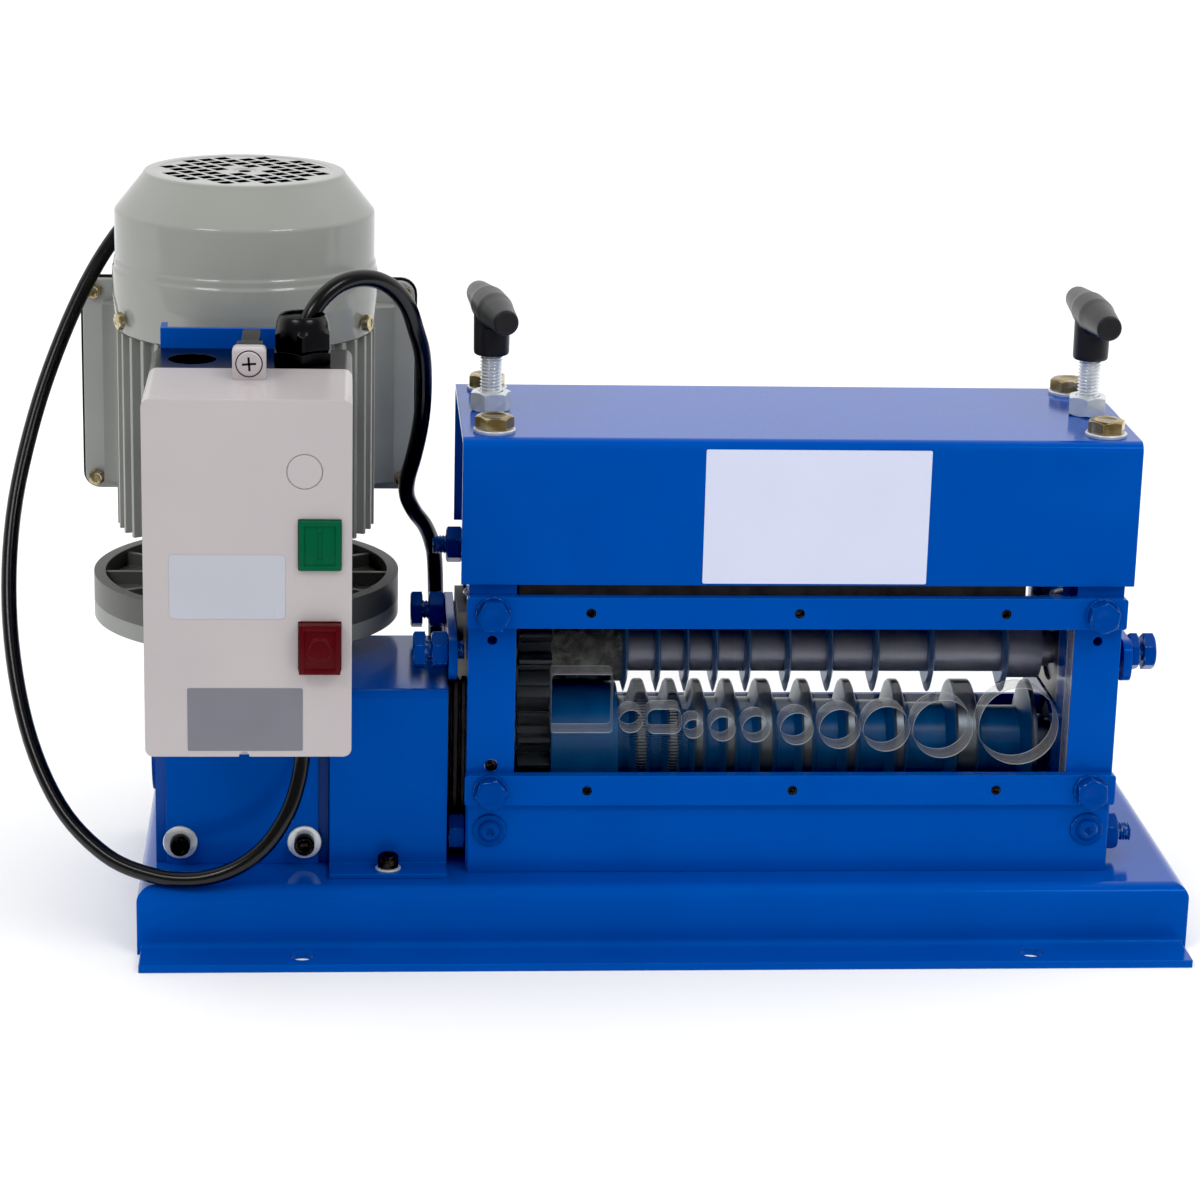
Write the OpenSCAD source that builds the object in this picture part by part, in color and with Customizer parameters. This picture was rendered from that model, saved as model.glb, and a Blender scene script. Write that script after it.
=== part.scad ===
// Wire stripping machine: disc blades over a grooved feed roller, driven by an upright gear motor.
// X runs along the machine, Y to its back, Z up, from the floor at the middle of the foot bolts.
// All sizes are millimetres.

/* [Base tray] */
// Length of the tray
base_w = 536; // [500:1:640]
// Depth of the tray between its front and back walls
base_d = 184; // [170:1:240]
// Height of the tray's top face
base_h = 35; // [28:1:60]
// Thickness of the tray's sheet
base_sheet = 4; // [3:0.5:6]
// Outside radius of the tray's folded edges
base_fold = 7; // [5:0.5:9]
// Reach of a foot flange from its wall
foot_out = 24; // [20:1:36]
// Shortening of a foot flange at each end
foot_short = 2; // [0:0.5:6]
// Diameter of the foot bolt holes
foot_hole_d = 12; // [8:0.5:14]
// Distance between one foot's holes
foot_hole_span = 370; // [300:1:440]

/* [Frame] */
// Place of the frame's middle along the tray
frame_x = 63.5; // [60:0.5:70]
// Place of the roller axes across the tray
axis_y = -6; // [-10:0.5:0]
// Clear length between the side plates
frame_gap = 284; // [282:1:300]
// Thickness of a side plate
plate_t = 24; // [22:1:30]
// Depth of a side plate
plate_d = 120; // [116:1:136]
// Height of a side plate above the tray
plate_h = 224.5; // [220:0.5:250]
// Thickness of a side plate's top bridge
bridge_t = 19.5; // [12:0.5:26]
// Height of a front bar
bar_h = 16; // [12:1:20]
// Thickness of a front bar
bar_t = 6; // [4:0.5:10]
// Height of the upper bar's middle above the tray
top_bar_rise = 139; // [134:1:142]
// Height of the lower bar's middle above the tray
low_bar_rise = 45; // [42:1:48]
// Reach of a bar past each side plate
bar_over = 1; // [0:0.5:4]
// Thickness of the front and back panels
panel_t = 3; // [2:0.5:4]
// Height of the back panel above the tray
back_panel_h = 56; // [40:1:60]
// Shortening of a panel at each end
panel_short = 1; // [0:0.5:4]

/* [Guard] */
// Thickness of the clear guard
guard_t = 15; // [10:0.5:18]
// Reach of the guard behind each bar
guard_lap = 12; // [8:0.5:14]
// Gap between the guard and each side plate
guard_gap = 0.3; // [0.2:0.1:1]
// Height of the round feed holes above the tray
hole_rise = 76; // [72:0.5:80]
// Width of the square feed hole
square_w = 31; // [24:1:34]
// Height of the square feed hole
square_h = 31; // [24:1:34]
// Place of the square hole from the left side plate
square_at = 34; // [31:0.5:37]
// Height of the square hole above the tray
square_rise = 89.5; // [86:0.5:92]
// Width of the flat cable slot
slot_w = 17.5; // [14:0.5:18]
// Height of the flat cable slot
slot_h = 13; // [9:0.5:14]

/* [Blades and rollers] */
// Place of each blade from the left side plate
blade_at = [59, 76, 91, 106, 123, 144, 166, 190, 219, 258]; // [55:0.5:265]
// Diameter of each blade's feed hole
feed_d = [12, 13, 10, 13, 14, 17, 21, 24, 31, 41]; // [8:0.5:42]
// Radius of a disc blade
blade_r = 23.5; // [22:0.25:24]
// Thickness of a disc blade
blade_t = 3; // [2:0.25:4]
// Height of the blade's ground edge
blade_edge = 5; // [3:0.5:7]
// Outside radius of the spacers between the blades
spacer_r = 12.8; // [12:0.1:14]
// Outside radius of the clamping collar
collar_r = 16; // [14:0.5:18]
// Length of the clamping collar
collar_len = 18; // [12:0.5:20]
// Radius of the knurled roller
knurl_r = 18.2; // [16:0.1:19]
// Radius of the blade shaft between its journals
blade_shaft_r = 10; // [9.5:0.1:10.5]
// Radius of the blade shaft's journals
blade_journal_r = 8.5; // [8:0.1:9]
// Height of the feed axis above the tray
feed_rise = 51.5; // [51:0.5:54]
// Distance between the two axes at rest
axis_gap = 50; // [50:0.25:51]
// Travel of the blades down from rest
blade_drop = 2; // [0.5:0.25:2]
// Travel of the blades up from rest
blade_lift = 4; // [2:0.25:5]
// Radius of the feed roller over its ridges
roller_r = 31; // [29:0.25:31.5]
// Radius of the feed roller's plain left part
plain_r = 27.8; // [26:0.1:28.5]
// Flat width left on the ridge between two grooves
ridge_w = 5; // [3:0.25:6]
// Least depth of a groove
groove_depth = 7.4; // [7:0.1:9]
// Radius of the feed shaft inside the roller
feed_shaft_r = 12.5; // [11:0.25:13.5]
// Radius of the feed shaft's journals
feed_journal_r = 10; // [9:0.1:10.5]

/* [Gear pair] */
// Module of the two gears
gear_m = 4; // [3.9:0.05:4.05]
// Number of teeth on each gear
gear_z = 12; // [12:1:12]
// Pressure angle of the teeth in degrees
gear_pa = 25; // [22:1:27]
// Width of the gears
gear_w = 17; // [12:0.5:18]
// Play between the flanks at the lowest position
gear_play = 0.7; // [0.6:0.05:1]
// Gap between the gears and the left side plate
gear_gap = 3.5; // [2:0.5:4]

/* [Blade bearings] */
// Width of a bearing block
block_w = 50; // [46:1:54]
// Reach of a bearing block below its axis
block_below = 22.5; // [22:0.25:23]
// Reach of a bearing block above its axis
block_above = 25.5; // [22:0.5:32]
// Reach of a bearing block out of its side plate
block_out = 4.5; // [2:0.5:6]
// Outside radius of a blade bearing
blade_bearing_r = 17.5; // [16:0.25:18]
// Width of a blade bearing
blade_bearing_w = 10; // [8:0.5:12]
// Outside radius of a feed bearing
feed_bearing_r = 21; // [19:0.25:21.5]
// Width of a feed bearing
feed_bearing_w = 12; // [10:0.5:15]
// Thickness of a strap over a bearing block
strap_t = 4.5; // [3:0.5:6]
// Height of a strap
strap_h = 22; // [20:1:26]
// Distance between a strap's two bolts
strap_span = 72; // [70:1:76]
// Outside diameter of a blade spring
spring_d = 26; // [20:0.5:28]
// Wire diameter of a blade spring
spring_wire = 2.6; // [2:0.1:3]
// Number of turns of a blade spring
spring_turns = 10; // [8:1:11]

/* [Top cover and handles] */
// Thickness of the cover's sheet
cover_sheet = 3; // [2:0.25:4]
// Height of the cover over all
cover_h = 74.5; // [66:0.5:76]
// Reach of the cover past each side plate
cover_over = 4; // [2:0.5:8]
// Outside radius of the cover's folded edges
cover_fold = 5; // [4:0.5:8]
// Distance between a side plate's cover bolts
cover_bolt_span = 94; // [86:1:98]
// Height of a handle's boss above the cover at rest
handle_rise = 26; // [20:0.5:34]
// Diameter of a handle's boss
handle_boss_d = 18.5; // [16:0.5:22]
// Length of a handle's bar
handle_len = 80; // [60:1:100]
// Diameter of a handle's bar at its ends
handle_end_d = 12; // [10:0.5:14]
// Diameter of a handle's bar at its middle
handle_mid_d = 17; // [14:0.5:18]
// Turn of the left handle in degrees
left_turn = 8; // [-90:1:90]
// Turn of the right handle in degrees
right_turn = 0; // [-90:1:90]

/* [Motor and gearbox] */
// Place of the motor axis along the tray
motor_x = -216; // [-222:1:-212]
// Distance of the worm axis behind the feed axis
worm_gap = 50; // [50:0.5:52]
// Radius of the motor flange
flange_r = 80; // [75:0.5:85]
// Thickness of the motor flange's rim
flange_t = 14; // [10:0.5:18]
// Thickness of the gearbox's input ring
ring_t = 9; // [6:0.5:12]
// Height of the gearbox's input ring above the tray
ring_rise = 106; // [102:1:112]
// Radius of the motor housing over its fins
housing_r = 67; // [64:0.5:70]
// Height of a cooling fin over the housing's wall
fin_h = 5; // [3:0.5:7]
// Thickness of a cooling fin
fin_t = 2.4; // [2:0.1:4]
// Number of cooling fins round the housing
fin_count = 40; // [32:1:48]
// Height of the neck between the flange and the housing
neck_h = 18; // [12:1:26]
// Height of the finned housing
housing_h = 113; // [100:1:130]
// Height of the fan cover
fan_cover_h = 80.5; // [76:0.5:90]
// Thickness of the fan cover's sheet
fan_sheet = 1.8; // [1.2:0.1:2.4]
// Radius of the fan cover's flat top
fan_top_r = 51; // [46:0.5:54]
// Width of a grille hole
grille_hole = 6; // [4:0.5:7]
// Distance between grille holes
grille_step = 9.4; // [8.5:0.1:12]
// Width of the terminal box's flange
terminal_w = 178; // [164:1:190]
// Height of the terminal box's flange
terminal_h = 115; // [104:1:120]
// Depth of the terminal box behind its flange
terminal_d = 46; // [30:1:60]
// Width of the gearbox along the feed axis
gearbox_w = 88; // [80:1:92]
// Radius of the gearbox round the worm wheel
gearbox_r = 45; // [44:0.5:46]

/* [Drive cover and starter] */
// Thickness of the drive cover's sheet
drive_sheet = 2.5; // [1.5:0.25:3]
// Height of the drive cover above the tray
drive_h = 95; // [85:1:100]
// Reach of the drive cover in front of the feed axis
drive_front = 56; // [50:1:60]
// Reach of the drive cover behind the feed axis
drive_back = 43; // [36:1:50]
// Width of the drive cover's foot
drive_foot = 16; // [12:1:18]
// Thickness of the bracket plate
bracket_t = 3; // [2:0.5:4]
// Width of the bracket plate
bracket_w = 77; // [70:1:84]
// Height of the bracket plate above the tray
bracket_h = 279; // [270:1:300]
// Width of the starter
starter_w = 97; // [92:1:104]
// Height of the starter
starter_h = 173; // [165:1:185]
// Height of the starter's underside above the tray
starter_rise = 96; // [90:1:102]
// Depth of the starter's back part
starter_back_d = 44; // [40:1:50]
// Depth of the starter's cover
starter_cover_d = 66; // [62:1:72]
// Wall of the starter
starter_wall = 2.5; // [2:0.25:3]
// Width of a button
button_w = 19.5; // [16:0.5:22]
// Height of a button
button_h = 24; // [18:0.5:28]
// Reach of the start button
start_out = 2.5; // [1:0.5:4]
// Reach of the stop button
stop_out = 6.5; // [4:0.5:9]
// Travel of a button
button_travel = 3; // [2:0.5:3]

/* [Cords] */
// Diameter of the power cord
cord_d = 8.5; // [8.5:0.1:8.5]
// Diameter of the motor lead
lead_d = 8; // [8:0.1:8]
// Turns in each layer of the coiled cord
coil_turns = 2; // [2:1:2]
// Radius of the coil's outer turn
coil_r = 55; // [55:0.5:55]

/* [Hidden] */
$fn = 48;

// Clearances: pieces fixed in one another, running shafts, sliding blocks, holes round bolts
fit = 0.05;
run = 0.04;
slide = 0.2;
clear = 0.3;
bolt_clear = 0.5;
// Overshoot that makes a cut pass its face
eps = 1;

// Standard fasteners: the M10 thread and hexagon, and the smaller screws
m10 = 10;
m10_af = 17;
m10_head = 6.4;
m10_nut = 8.5;
m10_pitch = 1.5;
m8 = 8;
m6 = 6;
m5 = 5;
washer_d = 21;
washer_t = 2;
screw_washer_d = 17;
screw_washer_t = 1.5;
thread_depth = 24;

// Faces of the frame
xl_in = frame_x - frame_gap / 2;
xl_out = xl_in - plate_t;
xr_in = frame_x + frame_gap / 2;
xr_out = xr_in + plate_t;
xl_mid = (xl_in + xl_out) / 2;
xr_mid = (xr_in + xr_out) / 2;
plate_mids = [xl_mid, xr_mid];
y_front = axis_y - plate_d / 2;
y_back = axis_y + plate_d / 2;
z_base = base_h;
z_feed = z_base + feed_rise;
z_blade = z_feed + axis_gap;
z_plate = z_base + plate_h;
z_top_bar = z_base + top_bar_rise;
z_low_bar = z_base + low_bar_rise;
z_cover = z_plate + cover_sheet;

// Window of a side plate, in which the bearing block slides
block_z0 = z_blade - block_below;
block_z1 = z_blade + block_above;
window_z0 = block_z0 - blade_drop - bolt_clear;
window_z1 = z_plate - bridge_t;
window_w = block_w + 2 * slide;
plate_round = cover_fold - cover_sheet + bolt_clear;

// Straps over the blocks, on each side of the frame
strap_lift = 6;
strap_bolt_lift = 9;
strap_end = 13;
strap_free = 3;
strap_bolt_len = 15;

// Frame fasteners
tie_d = 10;
tie_back_y = axis_y + 46;
tie_back_z = z_top_bar + 4.5;
tie_front_y = axis_y - 42;
tie_front_z = z_base + 14;
tie_end = 7;
panel_screw_rise = 23;
panel_screw_len = 12;
guard_screw_step = 105;
guard_screw_len = 8;
foot_bolt_step = 40;
foot_bolt_len = 20;

// Shafts, from the left side plate
gear_x = xl_in + gear_gap;
roller_x0 = gear_x + gear_w + run;
blade_xs = [for (a = blade_at) xl_in + a];
last = len(blade_at) - 1;
spacer_x1 = blade_xs[last] + blade_t / 2;
roller_end = 9;
roller_x1 = xr_in - roller_end;
journal_depth = 13;
bearing_recess = 2;
pocket_depth = 14;

// Ridges and grooves of the feed roller
function share(i, j) =
    (abs(blade_at[j] - blade_at[i]) - ridge_w) * feed_d[i] / (feed_d[i] + feed_d[j]);
function groove_half(i) =
    i == 0 ? share(0, 1)
    : i == last ? min(share(i, i - 1), roller_x1 - blade_xs[i] - ridge_w / 2)
    : min(share(i, i - 1), share(i, i + 1));
function groove_deep(i) = groove_depth + 0.16 * feed_d[i];
groove_slope = 0.3;
ridge_round = 0.9;

// Gear teeth: an involute flank from the base circle to the tip
gear_rp = gear_m * gear_z / 2;
gear_rb = gear_rp * cos(gear_pa);
gear_tip = gear_rp + gear_m * 0.92;
gear_root = gear_rp - gear_m * 1.2;
flank_steps = 5;
function inv(r) = r <= gear_rb ? 0 : sqrt(pow(r / gear_rb, 2) - 1) * 180 / PI - acos(gear_rb / r);
function tooth_half(r) = 90 / gear_z - gear_play / 4 / gear_rp * 180 / PI + inv(gear_rp) - inv(r);
function polar(r, a) = [r * cos(a), r * sin(a)];
function flank_r(k) = max(gear_root, gear_rb) + (gear_tip - max(gear_root, gear_rb)) * k / flank_steps;
function tooth(a) = concat(
    [polar(gear_root, a - tooth_half(gear_rb))],
    [for (k = [0 : flank_steps]) polar(flank_r(k), a - tooth_half(flank_r(k)))],
    [for (k = [flank_steps : -1 : 0]) polar(flank_r(k), a + tooth_half(flank_r(k)))],
    [polar(gear_root, a + tooth_half(gear_rb))]
);
function gear_outline() = [for (t = [0 : gear_z - 1]) each tooth(t * 360 / gear_z)];

// Handles
stud_pin_r = 4;
stud_pin = 8;
z_boss = z_cover + handle_rise;
handle_boss_h = 17;
z_bar = z_boss + handle_boss_h + handle_mid_d / 2 - 1;
stud_in = 8;

// Gearbox and motor heights
motor_y = axis_y + worm_gap;
z_ring = z_base + ring_rise;
z_flange = z_ring + ring_t;
z_neck = z_flange + flange_t;
z_housing = z_neck + neck_h;
z_fan = z_housing + housing_h;
z_motor = z_fan + fan_cover_h;
wheel_r = 37;
wheel_w = 26;
worm_r = worm_gap - wheel_r - clear;
worm_half = 26;
wheel_hub_r = 17;
wheel_shaft_r = 10;
gearbox_front = drive_front - 9;
output_bearing_x = gearbox_w / 2 - 4;
worm_case_r = 33;
worm_journal_r = 8;
worm_sleeve_r = 13;
motor_shaft_r = 7;
shaft_in = 30;
rotor_r = 33;
rotor_half = 36;
coupling_r = 22;
coupling_gap = 1;
coupling_x1 = xl_out - 6;
gearbox_x1 = motor_x + gearbox_w / 2;
coupling_x0 = gearbox_x1 + 4;
coupling_mid = (coupling_x0 + coupling_x1) / 2;
flange_bolt_pcd = 130;
flange_rim = 6;
flange_floor = 5;
flange_ribs = 12;
flange_rib_t = 3;
neck_r = 50;
saddle_y = motor_y + housing_r + 3;
saddle_low = 14;
saddle_top = 2;
terminal_plate = 5;
terminal_z = z_housing + 65;
terminal_round = 8;
terminal_step = 11;
terminal_wall = 3;
terminal_screw_in = 6;
fan_spigot_r = housing_r - 2.6;
fan_spigot_h = 12;
fan_screw_rise = 8;
fan_screw_angles = [27, 153, 207, 333];

// Drive cover, bracket and starter
bracket_fold = 11;
drive_x1 = xl_out - block_out - strap_t - 2 * clear;
drive_x0 = gearbox_x1 + clear;
bracket_y = axis_y - gearbox_front;
starter_y = bracket_y - bracket_t;
starter_x = motor_x + 6.5;
starter_z0 = z_base + starter_rise;
starter_z1 = starter_z0 + starter_h;
split_y = starter_y - starter_back_d;
starter_front = split_y - starter_cover_d;
button_x = starter_x + starter_w / 2 - 15;
start_z = starter_z0 + 104;
stop_z = starter_z0 + 54.5;
button_depth = 10;
button_lip = 2;
gland_x = starter_x + starter_w / 2 - 24;
gland_y = starter_y - 24;
knockout_x = starter_x - starter_w / 2 + 20;
knockout_d = 23;
lug_w = 16;
lug_h = 18;
lug_d = 27;
clip_screw_d = 12;
gland_af = 27;
gland_base_h = 6;
gland_nut_h = 16.5;
gland_bore_r = 10.3;
gland_neck_r = 9;
terminal_gland_x = motor_x + 16;
terminal_gland_y = saddle_y + terminal_plate + 28;
terminal_gland_z = terminal_z + terminal_h / 2 - terminal_step;

// Route of the motor lead, from the starter's lower gland to the terminal box
lead_end = [terminal_gland_x, terminal_gland_y, terminal_gland_z + gland_base_h + 0.3];
lead_start = [gland_x, gland_y, starter_z0 - gland_base_h - 0.3];
lead_route = [
    lead_start, lead_start - [0, 0, 12], [-185.3, -80.7, 101], [-187.5, -83.5, 88],
    [-193, -88, 73], [-204, -91, 57], [-220, -92, 45.5], [-239, -91, 40], [-260, -86.5, 40.5],
    [-284, -77, 48], [-308, -59, 68], [-326, -34, 102], [-336, -4, 148], [-336, 26, 196],
    [-326, 54, 244], [-310, 77, 288], [-292, 95, 322], [-272, 111, 345], [-249, 126, 356.5],
    [-226.5, 137.5, 353.5], [-210.5, 144.5, 341.5], [-202.3, 146.7, 327], lead_end + [0, 0, 13], lead_end
];

// Route of the power cord, from the starter's upper gland to the coil behind the machine
cord_start = [gland_x, gland_y, starter_z1 + gland_base_h + 1];
coil_x = 40;
coil_y = 198;
coil_step = cord_d + 0.8;
coil_lift = cord_d + 0.6;
coil_z = cord_d / 2 + 0.1;
cord_end = [coil_x - cord_d, coil_y - coil_r, coil_z];
cord_route = [
    cord_start, [-183.5, -79.3, 319.2], [-180, -77.3, 327.2], [-174.6, -73.9, 334],
    [-167.2, -69.2, 339], [-158.4, -63.3, 340.8], [-149.2, -56.7, 339], [-140.7, -50, 333.1],
    [-133.9, -43.6, 323.6], [-129.6, -37.3, 310.4], [-126.2, -29.3, 297], [-125.1, -21, 281],
    [-125.3, -12.5, 264.5], [-126.8, -3, 249], [-129.3, 8, 233.5], [-131.9, 19.5, 219.5],
    [-132, 29.5, 208], [-128, 39.5, 196.8], [-122, 49.5, 186.2], [-118, 57.5, 174.5],
    [-116, 63.5, 160], [-115, 69, 124], [-114, 76, 92], [-110, 89, 64], [-100, 107, 42],
    [-84, 124, 22], [-62, 137, 8.6], [-36, 142, 4.6], [-10, 143, coil_z], cord_end - [10, 0, 0], cord_end
];

// One hexagonal prism, standing on its face
module hexagon(af, h) {
    cylinder(r = af / 2 / cos(30), h = h, $fn = 6);
}

// A bolt along +Z: its head above zero and its shank below
module hex_bolt(d, af, head, long) {
    hexagon(af, head);
    translate([0, 0, -long]) cylinder(d = d, h = long + eps);
}

// A nut with its bore, standing on its face
module hex_nut(d, af, h) {
    difference() {
        hexagon(af, h);
        translate([0, 0, -eps]) cylinder(d = d, h = h + 2 * eps);
    }
}

// A cap screw along +Z with a hexagon socket
module cap_screw(d, long) {
    difference() {
        union() {
            cylinder(d = d * 1.6, h = d);
            translate([0, 0, -long]) cylinder(d = d, h = long + eps);
        }
        translate([0, 0, d * 0.5]) hexagon(d * 0.75, d);
    }
}

// A button headed screw along +Z with a hexagon socket
module button_screw(d, long) {
    difference() {
        union() {
            cylinder(d1 = d * 1.9, d2 = d * 1.2, h = d * 0.55);
            translate([0, 0, -long]) cylinder(d = d, h = long + eps);
        }
        translate([0, 0, d * 0.25]) hexagon(d * 0.6, d);
    }
}

module washer(d, bore, t) {
    difference() {
        cylinder(d = d, h = t);
        translate([0, 0, -eps]) cylinder(d = bore + bolt_clear, h = t + 2 * eps);
    }
}

// Turn a shape that runs along +Z so that it runs along +X, -X, +Y or -Y
module along_x(p) {
    translate(p) rotate([0, 90, 0]) children();
}
module along_minus_x(p) {
    translate(p) rotate([0, -90, 0]) children();
}
module along_y(p) {
    translate(p) rotate([-90, 0, 0]) children();
}
module along_minus_y(p) {
    translate(p) rotate([90, 0, 0]) children();
}

// Raise a shape to a height on the motor's axis
module at_motor(z) {
    translate([motor_x, motor_y, z]) children();
}

// A flat rectangle with round corners, its middle at the origin
module round_rect(w, h, r) {
    square([w - 2 * r, h], center = true);
    square([w, h - 2 * r], center = true);
    for (sx = [-1, 1], sy = [-1, 1])
        translate([sx * (w / 2 - r), sy * (h / 2 - r)]) circle(r);
}

// A block from one corner to the other
module block(a, b) {
    translate(a) cube(b - a);
}

// A ring about +X
module ring_x(x0, x1, y, z, ro, ri) {
    along_x([x0, y, z]) difference() {
        cylinder(r = ro, h = x1 - x0);
        translate([0, 0, -eps]) cylinder(r = ri, h = x1 - x0 + 2 * eps);
    }
}

// A rod about +X
module rod_x(x0, x1, y, z, r) {
    along_x([x0, y, z]) cylinder(r = r, h = x1 - x0);
}

// Half of a folded sheet's section: a rectangle that is round at its two upper corners
module fold_top(w, h, r) {
    translate([-w / 2, 0]) square([w, h - r]);
    translate([-w / 2 + r, 0]) square([w - 2 * r, h]);
    for (s = [-1, 1])
        translate([s * (w / 2 - r), h - r]) circle(r);
}

// A box whose upper edges are folded round on all four sides
module folded_box(w, d, h, r) {
    intersection() {
        translate([w / 2, 0, 0]) rotate([90, 0, -90]) linear_extrude(w) fold_top(d, h, r);
        translate([0, d / 2, 0]) rotate([90, 0, 0]) linear_extrude(d) fold_top(w, h, r);
    }
}

// Holes for the bolts that hold the side plates to the tray
module foot_bolt_places() {
    for (x = plate_mids, s = [-1, 1])
        translate([x, axis_y + s * foot_bolt_step / 2, z_base - base_sheet]) children();
}

// The four holes of the foot flanges
module foot_hole_places() {
    for (sx = [-1, 1], sy = [-1, 1])
        translate([sx * foot_hole_span / 2, sy * (base_d + foot_out) / 2, 0]) children();
}

module base_tray() {
    foot_w = base_w - 2 * foot_short;
    bend = 3;
    color("royalblue") difference() {
        union() {
            folded_box(base_w, base_d, base_h, base_fold);
            translate([-foot_w / 2, -base_d / 2 - foot_out, 0])
                cube([foot_w, base_d + 2 * foot_out, base_sheet]);
            // Inside curve where each wall turns out into its foot
            for (s = [-1, 1])
                translate([foot_w / 2, s * base_d / 2, base_sheet]) rotate([90, 0, -90])
                    linear_extrude(foot_w) difference() {
                        translate([s > 0 ? -bend : 0, 0]) square(bend);
                        translate([-s * bend, bend]) circle(bend);
                    }
        }
        translate([0, 0, -eps]) folded_box(
            base_w - 2 * base_sheet, base_d - 2 * base_sheet,
            base_h - base_sheet + eps, base_fold - base_sheet
        );
        // The end walls stop at the foot's upper face
        for (s = [-1, 1])
            translate([s * base_w / 2 - base_sheet - eps, -base_d / 2 + base_sheet, -eps])
                cube([2 * (base_sheet + eps), base_d - 2 * base_sheet, base_sheet + eps]);
        foot_hole_places() translate([0, 0, -eps]) cylinder(d = foot_hole_d, h = base_sheet + 2 * eps);
        foot_bolt_places() translate([0, 0, -eps])
            cylinder(d = m10 + bolt_clear, h = base_sheet + 2 * eps);
    }
}

// One side plate; side is -1 on the left and 1 on the right
module side_plate(side) {
    x0 = side < 0 ? xl_out : xr_in;
    mid = x0 + plate_t / 2;
    color("royalblue") difference() {
        translate([x0 + plate_t, axis_y, z_base]) rotate([90, 0, -90])
            linear_extrude(plate_t) fold_top(plate_d, plate_h, plate_round);
        block([x0 - eps, axis_y - window_w / 2, window_z0],
              [x0 + plate_t + eps, axis_y + window_w / 2, window_z1]);
        // Feed bearing pocket from the inner face, and the shaft's way out on the left
        rod_x(side < 0 ? xl_in - pocket_depth : x0 - eps, side < 0 ? xl_in + eps : x0 + pocket_depth,
              axis_y, z_feed, feed_bearing_r + fit);
        if (side < 0)
            rod_x(x0 - eps, x0 + plate_t, axis_y, z_feed, feed_journal_r + 1);
        // Stud through the bridge, cover bolts beside it
        translate([mid, axis_y, window_z1 - eps])
            cylinder(d = m10 + 2 * run, h = bridge_t + 2 * eps);
        for (s = [-1, 1]) {
            translate([mid, axis_y + s * cover_bolt_span / 2, z_plate - thread_depth])
                cylinder(d = m10 + 2 * fit, h = thread_depth + eps);
            translate([mid, axis_y + s * foot_bolt_step / 2, z_base - eps])
                cylinder(d = m10 + 2 * fit, h = foot_bolt_len + eps);
            along_x([side < 0 ? xl_out - eps : xr_out - strap_bolt_len,
                     axis_y + s * strap_span / 2, z_blade + strap_bolt_lift])
                cylinder(d = m10 + 2 * fit, h = strap_bolt_len + eps);
        }
        for (p = [[tie_back_y, tie_back_z], [tie_front_y, tie_front_z]])
            rod_x(x0 - eps, x0 + plate_t + eps, p[0], p[1], tie_d / 2 + fit);
        for (z = [z_top_bar, z_low_bar])
            along_y([mid, y_front - eps, z]) cylinder(d = m10 + 2 * fit, h = thread_depth + eps);
        along_y([mid, y_front - eps, z_base + panel_screw_rise])
            cylinder(d = m6 + 2 * fit, h = panel_screw_len + eps);
        along_minus_y([mid, y_back + eps, z_base + panel_screw_rise])
            cylinder(d = m6 + 2 * fit, h = panel_screw_len + eps);
        // Spare tapped hole under the upper bar
        along_y([mid, y_front - eps, z_top_bar - bar_h]) cylinder(d = m5, h = panel_screw_len);
    }
}

module left_side_plate() {
    side_plate(-1);
}

module right_side_plate() {
    side_plate(1);
}

// Places of the three guard screws along a bar
module guard_screw_places(z) {
    for (k = [-1 : 1])
        along_y([frame_x + k * guard_screw_step, y_front, z]) children();
}

module front_bar(z) {
    x0 = xl_out - bar_over;
    x1 = xr_out + bar_over;
    color("royalblue") difference() {
        translate([(x0 + x1) / 2, y_front, z]) rotate([90, 0, 0])
            linear_extrude(bar_t) round_rect(x1 - x0, bar_h, 1.5);
        for (x = plate_mids)
            along_y([x, y_front - bar_t - eps, z]) cylinder(d = m10 + bolt_clear, h = bar_t + 2 * eps);
        guard_screw_places(z) translate([0, 0, -bar_t - eps])
            cylinder(d = m5 + 2 * fit, h = bar_t + 2 * eps);
    }
}

module front_top_bar() {
    front_bar(z_top_bar);
}

module front_bottom_bar() {
    front_bar(z_low_bar);
}

// The feed holes, cut through whatever they meet
module feed_holes() {
    for (i = [0 : last])
        if (i != 1)
            along_y([blade_xs[i], y_front - eps, z_base + hole_rise + (i == 0 ? 4 : i == last ? 1.5 : 0)])
                cylinder(d = feed_d[i], h = guard_t + 2 * eps);
    translate([blade_xs[1], y_front - eps, z_base + hole_rise + 4]) rotate([-90, 0, 0])
        linear_extrude(guard_t + 2 * eps) round_rect(slot_w, slot_h, 4);
    translate([xl_in + square_at, y_front - eps, z_base + square_rise]) rotate([-90, 0, 0])
        linear_extrude(guard_t + 2 * eps) round_rect(square_w, square_h, 2);
}

module guard_panel() {
    z0 = z_low_bar + bar_h / 2 - guard_lap;
    z1 = z_top_bar - bar_h / 2 + guard_lap;
    color([0.75, 0.85, 0.9, 0.4]) difference() {
        block([xl_in + guard_gap, y_front, z0], [xr_in - guard_gap, y_front + guard_t, z1]);
        feed_holes();
        for (z = [z_top_bar, z_low_bar])
            guard_screw_places(z) translate([0, 0, -eps])
                cylinder(d = m5 + 2 * fit, h = guard_screw_len + eps);
    }
}

// A panel on the frame's front or back face, with its two screw holes
module frame_panel(y0, h) {
    x0 = xl_out + panel_short;
    x1 = xr_out - panel_short;
    color("royalblue") difference() {
        block([x0, y0, z_base], [x1, y0 + panel_t, z_base + h]);
        for (x = plate_mids)
            along_y([x, y0 - eps, z_base + panel_screw_rise])
                cylinder(d = m6 + bolt_clear, h = panel_t + 2 * eps);
    }
}

module front_panel() {
    frame_panel(y_front - panel_t, low_bar_rise - bar_h / 2);
}

module back_panel() {
    frame_panel(y_back, back_panel_h);
}

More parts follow.
